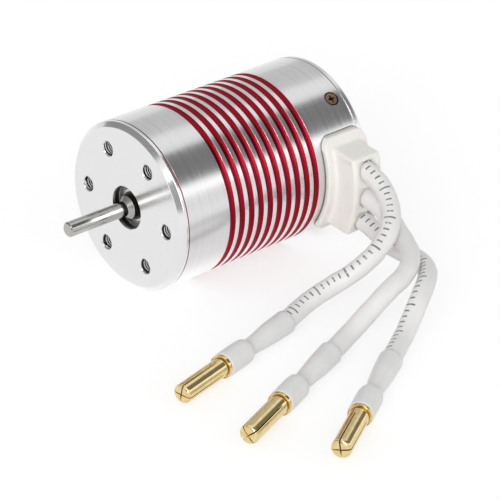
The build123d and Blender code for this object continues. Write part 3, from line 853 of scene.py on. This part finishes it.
def bullet(phase, sizes, material):
    """Gold bullet plug with a cup, a collar and a pin in four leaves"""
    cup, collar, pin = sizes.cup / 2, sizes.collar / 2, sizes.pin / 2
    cup_start, cup_end, bore = 8.9 * MM, sizes.boot_end, 1.6 * MM
    cup_floor = cup_end - 1.5 * MM
    collar_end = cup_end + 0.8 * MM
    pin_start = collar_end - 0.4 * MM
    tip = collar_end + sizes.pin_length
    edge = 0.05 * MM
    outline = rounded([
        (bore, cup_start), (cup, cup_start, 2 * edge), (cup, cup_end),
        (collar, cup_end, 0.12 * MM), (collar, collar_end, edge),
        (collar - 0.15 * MM, collar_end, edge), (collar - 0.17 * MM, pin_start, edge),
        (pin, pin_start, edge), (pin, tip - 0.55 * MM, 0.25 * MM),
        (pin - 0.4 * MM, tip - 0.15 * MM, 0.3 * MM), (0, tip), (0, cup_floor), (bore, cup_floor),
    ])
    piece = lathe(f"bullet_plug_{phase}", outline, 96)
    middle = Matrix.Translation((0, tip - sizes.slot_length / 2 + 1 * MM, 0))
    block = (4 * pin, sizes.slot_length + 2 * MM, sizes.slot_width)
    cutters = []
    for number in range(2):
        turn = -math.radians(SLOT_TURNS[phase]) - number * math.pi / 2
        cutters.append(prism(f"slot_{number}", block, middle @ Matrix.Rotation(turn, 4, "Y")))
    cut(piece, cutters)
    turned_normals(piece)
    bevel_rims(piece)
    piece.data.transform(plug_place(phase))
    return dress(piece, material, "housing", "gold_plate", f"bullet_{phase}")


class MOTOR_OT_leads(bpy.types.Operator):
    """Makes the three sleeved leads with their boots and bullet plugs"""

    bl_idname = "motor.leads"
    bl_label = "Leads and Plugs"

    def execute(self, context):
        _, _, sizes, colours = settings(context)
        printed = sleeve_plastic("sleeve_printed", colours, True)
        bare = sleeve_plastic("sleeve_bare", colours, False)
        gold = gold_plate("gold_plate", colours.gold)
        for phase, points in LEAD_ROUTES.items():
            line = route_line(f"route_{phase}", points)
            turn = math.radians(PRINT_TURNS[phase])
            name = f"sleeved_lead_{phase}"
            lead, total = tube(name, line, sizes.sleeve / 2, sizes.unevenness, turn)
            dress(lead, bare if phase == "b" else printed, "housing", "sleeve", f"lead_{phase}")
            ends = [boot(phase, sizes, bare), bullet(phase, sizes, gold)]
        tin = plain_finish("tinned_wire", colours.tin, 0.35, 1.0, 1.2 * MM, 4e-6)
        paint(tin, *(f"{part}_{phase}" for part in ("wire_end", "solder") for phase in "abc"))
        return {"FINISHED"}


# --- Can, end bells and their fasteners ---
def about_axis(turn, radius, y):
    """Place that faces out from the axis: its y runs outward and its x along the motor."""
    out = Vector((math.cos(turn), 0, math.sin(turn)))
    along = Vector((0, 1, 0))
    return frame_at(along, out, along.cross(out), out * radius + along * y)


def exit_turn():
    """Turn of the leads' way out about the axis, and its place along the motor."""
    start, end = LEAD_ROUTES["b"][:2]
    return math.atan2(end[2] - start[2], end[0] - start[0]), start[1]


def screw_place(ends, turn):
    """Place of a screw: the middle of its head's flat top, with y running outward."""
    return about_axis(turn, CAN_RADIUS - ends.screw_sink, BODY_LENGTH - ends.screw_inset)


class MOTOR_OT_can(bpy.types.Operator):
    """Turns the finned can and cuts its lead window and screw seats"""

    bl_idname = "motor.can"
    bl_label = "Finned Can"

    def execute(self, context):
        sizes, ends, _, colours = settings(context)
        skin, edge, fin = CAN_RADIUS, sizes.edge_break, sizes.fin_break
        inner, root = skin - sizes.wall, skin - sizes.groove_depth
        outline = [(inner, FRONT_SEAM), (skin - edge, FRONT_SEAM), (skin, FRONT_SEAM + edge)]
        for groove in range(sizes.groove_count):
            start = sizes.first_groove + groove * sizes.groove_pitch
            end = start + sizes.groove_width
            outline.append((skin, start - fin))
            for step in range(GROOVE_STEPS + 1):
                bend = 2 * step / GROOVE_STEPS - 1
                radius = root + (skin - fin - root) * bend**2
                outline.append((radius, (start + end + bend * sizes.groove_width) / 2))
            outline.append((skin, end + fin))
        outline += [(skin, REAR_SEAM - edge), (skin - edge, REAR_SEAM), (inner, REAR_SEAM)]
        piece = lathe("finned_can", outline)
        turn, y = exit_turn()
        window = (sizes.window_length, 8 * sizes.wall, sizes.window_height)
        cutters = [prism("lead_window", window, about_axis(turn, CAN_RADIUS, y))]
        for turn in even_turns(ends.screw_phase, ends.screw_count):
            cutters.append(lathe("seat", self.seat(ends), 64, screw_place(ends, turn)))
        cut(piece, cutters)
        turned_normals(piece)
        metal = can_metal("can_metal", sizes, colours)
        dress(piece, metal, "housing", "polished_aluminium", "can")
        return {"FINISHED"}

    def seat(self, ends):
        """Outline of a countersunk seat, with a little room round the screw."""
        head, hole = ends.screw_head + 0.13 * MM, SCREW_CORE + 0.03 * MM
        top, bottom = 1 * MM, -4 * MM
        return [(0, top), (head, top), (head, 0), (hole, hole - head), (hole, bottom), (0, bottom)]


class MOTOR_OT_front_bell(bpy.types.Operator):
    """Turns the mounting face with its opening and drills the six threaded holes"""

    bl_idname = "motor.front_bell"
    bl_label = "Front Bell"

    def execute(self, context):
        can, ends, _, colours = settings(context)
        inner, opening, chamfer = CAN_RADIUS - can.wall, ends.front_opening / 2, ends.front_chamfer
        corner = 0.12 * MM
        outline = rounded([
            (opening, ends.opening_break), (opening + ends.opening_break, 0),
            (CAN_RADIUS - chamfer, 0, corner), (CAN_RADIUS, chamfer, corner),
            (CAN_RADIUS, FRONT_SEAM - can.edge_break), (CAN_RADIUS - can.edge_break, FRONT_SEAM),
            (inner, FRONT_SEAM), (inner, ends.front_depth), (BEARING_RADIUS, ends.front_depth),
            (BEARING_RADIUS, BEARING_LOW.y), (opening, BEARING_LOW.y),
        ], steps=3)
        piece = lathe("front_bell", outline)
        bore, mouth, top, floor = BOLT_RADIUS, ends.hole_mouth, -1 * MM, ends.hole_depth
        sink = (mouth - bore) / math.tan(math.radians(COUNTERSINK / 2))
        hole = [(0, top), (mouth, top), (mouth, 0), (bore, sink), (bore, floor), (0, floor)]
        cutters = []
        for turn in even_turns(ends.hole_phase, BOLT_COUNT):
            middle = Vector((math.cos(turn), 0, math.sin(turn))) * BOLT_CIRCLE / 2
            cutters.append(lathe("hole", hole, 64, Matrix.Translation(middle)))
        cut(piece, cutters)
        turned_normals(piece)
        dress(piece, self.metal(colours), "housing", "polished_aluminium", "front_end_bell")
        metal = self.thread_metal()
        thread = repeat_about_axis(self.thread(ends), BOLT_COUNT, ends.hole_phase, metal)
        dress(thread, metal, "housing", "polished_aluminium")
        return {"FINISHED"}

    def metal(self, colours):
        """Faced aluminium with fine rings about the axis, with painted shade in the holes and the
        opening.
        """
        finish = Finish("face_metal", metallic=1.0)
        radius, y = finish.polar()
        bands = finish.lines(radius + y, BAND_PITCH, detail=3.0)
        patches = finish.cloud(7 * MM)
        # Painted shade: near black deep in the holes and the opening.
        inside = (radius < CAN_RADIUS - 2 * MM) * y.ramp(0.05 * MM, 0.9 * MM)
        tone = finish.tones(bands * 0.5 + patches * 0.5, colours.aluminium, 0.96, 1.02)
        return finish.set(
            base_color=finish.mix(inside * 0.97, tone, rgb((0.012, 0.012, 0.01))),
            roughness=0.18 + 0.04 * (bands + patches - 1) + 0.15 * inside,
            normal=finish.bump(finish.lines(radius + y, 0.13 * MM), 1.6e-6),
        )

    def thread_metal(self):
        """Thread with painted highlights on its crests and painted shade on its flanks."""
        finish = Finish("thread_metal")
        _, tilt, _ = finish.split(finish.add("ShaderNodeTexCoord", output="Normal"))
        # Painted highlight and shade: crests are white and not metal, and flanks are near black, by
        # which way each face points.
        flank_shade = abs(tilt).ramp(0.25, 0.6)
        wear = finish.cloud(0.5 * MM)
        return finish.set(
            base_color=finish.mix(flank_shade, rgb((1, 1, 1), 0.98), rgb((0.02, 0.02, 0.02))),
            metallic=flank_shade, roughness=0.25 + 0.2 * wear, normal=finish.bump(wear, 2e-6),
        )

    def thread(self, ends):
        """Ridge of one hole's thread, in the hole that lies on +X."""
        root, pitch = BOLT_RADIUS + 0.005 * MM, ends.thread_pitch
        rise = root - ends.thread_crest
        profile = ((0, -0.42), (rise, -0.22), (rise, 0.22), (0, 0.42))
        start, end = 0.45 * MM, ends.hole_depth - 0.5 * MM
        count = round((end - start) / pitch * THREAD_STEPS)
        mesh = bmesh.new()
        rings = []
        for step in range(count + 1):
            turn = 2 * math.pi * step / THREAD_STEPS
            y = start + pitch * step / THREAD_STEPS
            run_in = min(1.0, step / THREAD_RUN_IN, (count - step) / THREAD_RUN_IN)
            ring = []
            for height, share in profile:
                r = root - height * run_in
                x = BOLT_CIRCLE / 2 + r * math.cos(turn)
                ring.append(mesh.verts.new((x, y + share * pitch, r * math.sin(turn))))
            rings.append(ring)
        skin_rings(mesh, rings)
        return from_bmesh("face_threads", mesh)


class MOTOR_OT_rear_bell(bpy.types.Operator):
    """Turns the rear bell with its bearing hub and the gap for the leads"""

    bl_idname = "motor.rear_bell"
    bl_label = "Rear Bell"

    def execute(self, context):
        can, ends, _, colours = settings(context)
        inner, opening, rear = CAN_RADIUS - can.wall, ends.rear_opening / 2, BODY_LENGTH
        spigot, hub = inner - ends.rear_spigot, BEARING_RADIUS + ends.rear_hub_wall
        end, web, lip = rear - ends.rear_depth, rear - ends.rear_web, rear - ends.bearing_lip
        hub_end, chamfer, corner = rear - ends.rear_hub_depth, ends.rear_chamfer, 0.12 * MM
        outline = rounded([
            (opening, rear, 0.15 * MM), (CAN_RADIUS - chamfer, rear, corner),
            (CAN_RADIUS, rear - chamfer, corner), (CAN_RADIUS, REAR_SEAM + can.edge_break),
            (CAN_RADIUS - can.edge_break, REAR_SEAM), (inner, REAR_SEAM), (inner, end),
            (spigot, end), (spigot, web), (hub, web), (hub, hub_end), (BEARING_RADIUS, hub_end),
            (BEARING_RADIUS, lip), (opening, lip),
        ], steps=3)
        piece = lathe("rear_bell", outline)
        turn, _ = exit_turn()
        place = about_axis(turn, hub + CAN_RADIUS / 2, web - ends.rear_depth)
        gap = (2 * ends.rear_depth, CAN_RADIUS, can.window_height + 2 * can.wall)
        cutters = [prism("lead_gap", gap, place)]
        top, bottom = 1 * MM, -SCREW_REACH
        hole = [(0, top), (SCREW_CORE, top), (SCREW_CORE, bottom), (0, bottom)]
        for turn in even_turns(ends.screw_phase, ends.screw_count):
            cutters.append(lathe("screw_hole", hole, 48, screw_place(ends, turn)))
        cut(piece, cutters)
        turned_normals(piece)
        metal = turned_metal("rear_metal", colours.aluminium, 0.27, 4e-6, seam=REAR_SEAM)
        dress(piece, metal, "housing", "polished_aluminium", "rear_end_bell")
        return {"FINISHED"}


class MOTOR_OT_screws(bpy.types.Operator):
    """Makes the countersunk cross-head screws round the rear of the can"""

    bl_idname = "motor.screws"
    bl_label = "Housing Screws"

    def execute(self, context):
        _, ends, _, colours = settings(context)
        head, core = ends.screw_head, SCREW_CORE
        outline = rounded([
            (0, 0), (head - 0.2 * MM, 0, 0.1 * MM), (head - SCREW_RIM, -SCREW_RIM, 0.05 * MM),
            (head, -SCREW_RIM), (core, core - head), (core, -SCREW_REACH), (0, -SCREW_REACH),
        ])
        screw = lathe("housing_screws_dressed", outline, 64)
        cutters = []
        for number in range(2):
            turn = Matrix.Rotation(number * math.pi / 2, 4, "Y")
            blade = prism("blade", BLADE, turn)
            for vertex in blade.data.vertices:
                if vertex.co.y < 0:
                    vertex.co.x *= BLADE_TAPER
                    vertex.co.z *= BLADE_TAPER
            cutters.append(blade)
        point = [(0, 0.1 * MM), (0.45 * MM, 0.1 * MM), (0, -0.8 * MM)]
        cutters.append(lathe("point", point, 32))
        cut(screw, cutters)
        screw.data.transform(screw_place(ends, 0))
        metal = self.metal(colours.screw, CAN_RADIUS - ends.screw_sink)
        repeat_about_axis(screw, ends.screw_count, ends.screw_phase, metal)
        dress(screw, metal, "housing", "screw_steel", "housing_screws")
        return {"FINISHED"}

    def metal(self, tint, top):
        """Bronze tinted steel, with painted shade down in the cross and in a ring round the head.
        """
        finish = Finish("screw_metal", metallic=1.0)
        radius, _ = finish.polar()
        _, along = finish.surface()
        # Painted shade: near black down in the cross and in a ring round the head.
        rim = along.ramp(1.24 * MM, 1.3 * MM) * along.ramp(1.75 * MM, 1.7 * MM)
        dark = radius.ramp(top - 0.08 * MM, top - 0.24 * MM).most(rim)
        patches = finish.cloud(0.6 * MM)
        return finish.set(
            base_color=finish.mix(dark, finish.tones(patches, tint, 0.75, 1.2), rgb(tint, 0.12)),
            roughness=0.24 + 0.2 * patches, normal=finish.bump(finish.cloud(0.2 * MM), 6e-6),
        )


# --- Shaft, bearings and what turns ---
class MOTOR_OT_shaft(bpy.types.Operator):
    """Turns the stepped output shaft"""

    bl_idname = "motor.shaft"
    bl_label = "Shaft"

    def execute(self, context):
        tip, tail, edge = SHAFT_LOW.y, SHAFT_HIGH.y, 0.3 * MM
        cone_end = 0.2 * MM
        cone_start = cone_end - (SHAFT_RADIUS - OUTPUT_RADIUS)
        outline = rounded([
            (0, tip), (OUTPUT_RADIUS - edge, tip, 0.08 * MM), (OUTPUT_RADIUS, tip + edge, 0.1 * MM),
            (OUTPUT_RADIUS, cone_start, 0.08 * MM), (SHAFT_RADIUS, cone_end, 0.05 * MM),
            (SHAFT_RADIUS, tail - edge), (SHAFT_RADIUS - edge, tail, 0.08 * MM), (0, tail),
        ])
        piece = lathe("stepped_shaft", outline, 128)
        turned_normals(piece)
        metal = self.metal(context.scene.motor_colours)
        dress(piece, metal, "rotor", "shaft_steel", "shaft")
        return {"FINISHED"}

    def metal(self, colours):
        """Ground steel with lines round it, darker and rougher towards its cone, with painted shade
        behind it.
        """
        finish = Finish("shaft_metal", metallic=1.0)
        _, y, _ = finish.place()
        rings = finish.lines(y, 0.35 * MM, detail=4.0)
        patches = finish.cloud(1.6 * MM, detail=4.0)
        # Painted shade on the shaft behind its cone, down in the opening and the bearing.
        behind_cone_shade = y.ramp(0.18 * MM, 0.3 * MM) * y.ramp(5 * MM, 4 * MM)
        toward_cone = y.ramp(-1.7 * MM, -0.6 * MM)
        tone = finish.tones(rings * 0.6 + patches * 0.4, colours.steel, 0.72, 1.1)
        tone = finish.mix(toward_cone * 0.3, tone, rgb(colours.steel, 0.4))
        return finish.set(
            base_color=finish.mix(behind_cone_shade, tone, rgb(colours.recess_shade, 3.0)),
            roughness=0.1 + 0.08 * patches + 0.14 * toward_cone + 0.06 * behind_cone_shade,
            normal=finish.bump(rings, 1e-6),
        )


class MOTOR_OT_bearings(bpy.types.Operator):
    """Makes both ball bearings: races, shields and balls"""

    bl_idname = "motor.bearings"
    bl_label = "Bearings"

    def execute(self, context):
        colours = context.scene.motor_colours
        metal = turned_metal("race_metal", colours.steel, 0.14, 1e-6)
        shield = turned_metal("shield_metal", colours.shield, 0.3, 2e-6)
        brass = plain_finish("cage_brass", colours.brass, 0.3, 1.0, 1.2 * MM, 4e-6)
        # Painted shade: the shim before the front bearing gets the near black recess colour.
        paint(plain_finish("shim_painted_shade", colours.recess_shade, 0.4, 0.7, 0.6 * MM, 6e-6), "front_shim")
        for place in ("front", "rear"):
            low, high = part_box(f"{place}_bearing_outer_race")
            middle = (low.y + high.y) / 2
            self.race(place, "outer", "housing", metal, low.y, high.y)
            self.race(place, "inner", "rotor", metal, low.y, high.y)
            low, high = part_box(f"{place}_bearing_shields")
            self.shield(place, "outside", low.y, 0.2 * MM, high.x, shield)
            self.shield(place, "inside", high.y, -0.2 * MM, high.x, shield)
            self.balls(place, middle, metal)
            paint(brass, f"{place}_bearing_cage")
        return {"FINISHED"}

    def race(self, place, which, body, metal, front, rear):
        """A race with its ball groove. The edges are broken."""
        inner_land, outer_land = SHAFT_RADIUS + RACE_HEIGHT, BEARING_RADIUS - RACE_HEIGHT
        edge, middle = RACE_EDGE, (front + rear) / 2
        turns = [math.radians(60 - 10 * step) for step in range(13)]
        groove = [(BALL_GROOVE * math.cos(turn), BALL_GROOVE * math.sin(turn)) for turn in turns]
        if which == "outer":
            seat, deep = 0.4 * MM, outer_land + 0.2 * MM
            groove = [(BALL_CIRCLE + out, middle - along) for out, along in groove]
            groove = [point for point in groove if point[0] > outer_land]
            outline = [
                (deep, rear, edge), (BEARING_RADIUS, rear, edge), (BEARING_RADIUS, front, edge),
                (deep, front, 0.05 * MM), (deep, front + seat), (outer_land, front + seat),
                *groove, (outer_land, rear - seat), (deep, rear - seat),
            ]
        else:
            groove = [(BALL_CIRCLE - out, middle - along) for out, along in groove]
            groove = [point for point in groove if point[0] < inner_land]
            outline = [
                (SHAFT_RADIUS, front, edge), (inner_land, front, edge), *groove,
                (inner_land, rear, edge), (SHAFT_RADIUS, rear, edge),
            ]
        piece = lathe(f"{place}_{which}_race", rounded(outline), 160)
        dress(piece, metal, body, "bearing_steel", f"{place}_bearing_{which}_race")

    def shield(self, place, side, face, thick, rim, metal):
        """Pressed shield: a shallow dish with a rolled inner edge. Its thickness points inward."""
        inner = SHAFT_RADIUS + RACE_HEIGHT + RACE_EDGE
        dish = face + 0.35 * thick
        outline = [
            (inner, face + 0.3 * thick), (inner + 0.12 * MM, face), (inner + 0.3 * MM, dish),
            (rim - 0.5 * MM, dish), (rim - 0.3 * MM, face), (rim, face), (rim, face + thick),
            (inner, face + thick),
        ]
        piece = shade(lathe(f"{place}_{side}_shield", outline, 128), 50)
        dress(piece, metal, "housing", "shield_steel", f"{place}_bearing_shields")

    def balls(self, place, middle, metal):
        """The balls, on their pitch circle."""
        spot = Matrix.Translation((BALL_CIRCLE, middle, 0))
        ball = bmesh.ops.create_icosphere
        piece = basic_shape(f"{place}_balls", ball, spot, subdivisions=3, radius=BALL_RADIUS)
        repeat_about_axis(piece, BALL_COUNT, 0.0, metal)
        dress(piece, metal, f"{place}_ball_set", "bearing_steel", f"{place}_bearing_balls")


class MOTOR_OT_inside(bpy.types.Operator):
    """Gives the rotor, stator and windings inside the can their finishes"""

    bl_idname = "motor.inside"
    bl_label = "Inside Pieces"

    def execute(self, context):
        colours = context.scene.motor_colours
        washer = turned_metal("washer_metal", colours.steel, 0.3, 2e-6)
        paint(washer, "preload_washer", "front_spacer", "rear_spacer")
        paint(turned_metal("core_steel", (0.3, 0.3, 0.31), 0.4, 3e-6), "rotor_core")
        nickel = plain_finish("magnet_nickel", (0.55, 0.54, 0.52), 0.3, 1.0, 3 * MM, 3e-6)
        paint(nickel, "magnets")
        wrap = plain_finish("magnet_wrap", (0.03, 0.03, 0.035), 0.5, 0.0, 0.8 * MM, 1.5e-5)
        paint(wrap, "magnet_sleeve")
        brass = turned_metal("ring_brass", colours.brass, 0.3, 3e-6)
        paint(brass, "front_balance_ring", "rear_balance_ring")
        paint(self.laminations(), "stator_core")
        paper = plain_finish("insulation", (0.7, 0.62, 0.42), 0.6, 0.0, 2 * MM, 8e-6)
        paint(paper, "front_insulator", "rear_insulator", "slot_liners")
        coils = [f"{part}_{phase}" for part in ("winding", "phase_tail") for phase in "abc"]
        paint(self.windings(colours.copper), *coils, "star_ring")
        return {"FINISHED"}

    def laminations(self):
        """Stack of thin dark sheets."""
        finish = Finish("laminations", metallic=1.0)
        _, y, _ = finish.place()
        gap = abs((y / (0.35 * MM)) % 1.0 - 0.5).ramp(0.42, 0.5)
        return finish.set(
            base_color=finish.mix(gap, rgb((0.2, 0.2, 0.22)), rgb((0.05, 0.05, 0.055))),
            roughness=0.45 + 0.2 * gap, normal=finish.bump(1 - gap, 2e-5),
        )

    def windings(self, copper):
        """Enamelled wire laid side by side, with painted shade in the creases between the turns."""
        finish = Finish("enamelled_copper", metallic=0.8, coat_weight=0.5, coat_roughness=0.15)
        radius, _ = finish.polar()
        round_wire = 1 - abs((radius / (0.5 * MM)) % 1.0 - 0.5) * 2
        patches = finish.cloud(2 * MM)
        tone = finish.tones(patches, copper, 0.7)
        return finish.set(
            # Painted shade: the copper darkens in the creases between the turns.
            base_color=finish.mix(round_wire.ramp(0.25, 0.0), tone, rgb(copper, 0.2)),
            roughness=0.3 + 0.1 * patches, normal=finish.bump(round_wire**0.5, 1.2e-4),
        )


class MOTOR_OT_wire_block(bpy.types.Operator):
    """Makes the moulded block that the leads come out of"""

    bl_idname = "motor.wire_block"
    bl_label = "Wire Block"

    def execute(self, context):
        mesh = bmesh.new()
        mesh.from_mesh(NODES["wire_block"].data)
        bmesh.ops.remove_doubles(mesh, verts=mesh.verts, dist=2e-6)
        piece = shade(from_bmesh("moulded_wire_block", mesh), 28)
        plastic = moulded_plastic("ivory_plastic", context.scene.motor_colours.ivory)
        dress(piece, plastic, "housing", "ivory_plastic", "wire_block")
        return {"FINISHED"}


# --- Stage ---
class MOTOR_OT_camera(bpy.types.Operator):
    """Places the camera that looks down on the mounting face and the leads"""

    bl_idname = "motor.camera"
    bl_label = "Camera"

    def execute(self, context):
        data = bpy.data.cameras.new("view")
        data.sensor_width = 36.0
        data.lens = 219.606
        data.clip_start, data.clip_end = 0.02, 20.0
        camera = new_object("view", data)
        camera.location = (0.431809, -0.337977, 0.280532)
        camera.rotation_euler = (math.radians(90 - 27.911), 0, math.radians(49.342))
        context.scene.camera = camera
        return {"FINISHED"}


class MOTOR_OT_studio(bpy.types.Operator):
    """Sets the pale floor, the even light and the boards that the metal mirrors"""

    bl_idname = "motor.studio"
    bl_label = "Studio"

    def execute(self, context):
        scene, studio = context.scene, context.scene.motor_studio
        scene.view_settings.view_transform = "Standard"
        self.world(scene, studio)
        self.floor(studio.floor)
        self.lamp(studio.lamp)
        self.board("side_board", (0.452, 0.56, 0.696), 0.4, BOARD_LENGTH, studio.side_level)
        self.board("strip_light", (0.752, 0.56, 0.351), 0.11, BOARD_LENGTH, studio.strip_level)
        self.board("far_board", (-0.57, 0.56, 0.6), 0.42, BOARD_LENGTH, studio.far_level)
        for number, way in enumerate(CHAMFER_WAYS):
            side, share = (0.23, 0.65) if number < WIDE_BOARDS else (0.17, 1.0)
            name = f"chamfer_board_{number}"
            self.board(name, way, side, side, studio.chamfer_level * share)
        return {"FINISHED"}

    def world(self, scene, studio):
        """Even light, dimmer from overhead. Metal mirrors a pale room that is brighter overhead."""
        world = bpy.data.worlds.new("studio")
        world.use_nodes = True
        scene.world = world
        tree = Tree(world.node_tree)
        camera, bent = tree.rays()
        _, _, height = tree.split(tree.add("ShaderNodeTexCoord", output="Generated"))
        mirrored = ROOM_LEVEL - (ROOM_LEVEL - studio.overhead) * height.ramp(0.1, 0.9)
        lit = studio.ambient * (1 - 0.5 * height.ramp(0.1, 1.0))
        strength = camera + bent * mirrored + (1 - camera) * (1 - bent) * lit
        background = tree.tree.nodes["Background"]
        background.inputs["Color"].default_value = rgb((1, 1, 1))
        tree.feed(background.inputs["Strength"], strength)

    def floor(self, colour):
        """White floor for the camera. Metal sees it a little darker, but brighter below the can,
        where a pool of light is painted.
        """
        finish = Finish("pale_floor", roughness=0.9, specular_ior_level=0.0, emission_strength=1.0)
        camera, mirrored = finish.rays()
        x, y, _ = finish.place()
        under = x.ramp(-0.015, 0.0) * x.ramp(0.021, 0.011)
        under = under * y.ramp(-0.005, 0.01) * y.ramp(0.045, 0.025)
        # Painted light: metal sees a brighter patch of floor below the can.
        glow = camera * 0.62 + mirrored * (0.58 + 0.3 * under)
        material = finish.set(
            base_color=finish.mix(camera.most(mirrored), rgb(colour), rgb(colour, 0.55)),
            emission_color=finish.mix(glow, rgb((0, 0, 0)), rgb((1, 1, 1))),
        )
        place = Matrix.Translation((0, 0, FLOOR_HEIGHT))
        stage_sheet("floor", FLOOR_SIDE, FLOOR_SIDE, place, material)

    def lamp(self, strength):
        light = bpy.data.lights.new("soft_lamp", "SUN")
        light.energy = strength
        light.angle = math.radians(40)
        lamp = new_object("soft_lamp", light)
        lamp.rotation_euler = Vector((-0.6, 0.75, -0.35)).to_track_quat("-Z", "Y").to_euler()

    def board(self, name, way, width, height, brightness):
        """Board that only mirrors see, in this direction from the motor and facing it."""
        out = Vector(way).normalized()
        across = out.cross(Vector((0, 1, 0))).normalized()
        place = frame_at(across.cross(out), across, out, out * BOARD_DISTANCE)
        finish = Finish(
            name, base_color=rgb((0, 0, 0)), roughness=1.0, specular_ior_level=0.0,
            emission_color=rgb((1, 1, 1), brightness), emission_strength=1.0,
        )
        board = stage_sheet(name, height, width, place, finish.material)
        for rays in ("camera", "diffuse", "shadow", "transmission", "volume_scatter"):
            setattr(board, f"visible_{rays}", False)


# --- Panel and registration ---
OPERATORS = (
    MOTOR_OT_camera, MOTOR_OT_leads, MOTOR_OT_can, MOTOR_OT_front_bell, MOTOR_OT_rear_bell,
    MOTOR_OT_screws, MOTOR_OT_shaft, MOTOR_OT_bearings, MOTOR_OT_wire_block, MOTOR_OT_inside,
    MOTOR_OT_studio,
)


class MOTOR_PT_panel(bpy.types.Panel):
    """Lists the motor's pieces and their sizes"""

    bl_idname = "MOTOR_PT_panel"
    bl_label = "Motor"
    bl_space_type = "VIEW_3D"
    bl_region_type = "UI"
    bl_category = "Motor"

    def draw(self, context):
        for operator in OPERATORS:
            self.layout.operator(operator.bl_idname)
        for name, group in PROPERTIES.items():
            box = self.layout.box()
            box.label(text=group.__doc__)
            for size in group.__annotations__:
                box.prop(getattr(context.scene, name), size)


def register():
    for kind in (*PROPERTIES.values(), *OPERATORS, MOTOR_PT_panel):
        bpy.utils.register_class(kind)
    for name, group in PROPERTIES.items():
        setattr(bpy.types.Scene, name, bpy.props.PointerProperty(type=group))


def unregister():
    for name in PROPERTIES:
        delattr(bpy.types.Scene, name)
    for kind in (MOTOR_PT_panel, *reversed(OPERATORS), *PROPERTIES.values()):
        bpy.utils.unregister_class(kind)


def main():
    register()
    for operator in OPERATORS:
        group, name = operator.bl_idname.split(".")
        getattr(getattr(bpy.ops, group), name)()


if __name__ == "__main__":
    main()
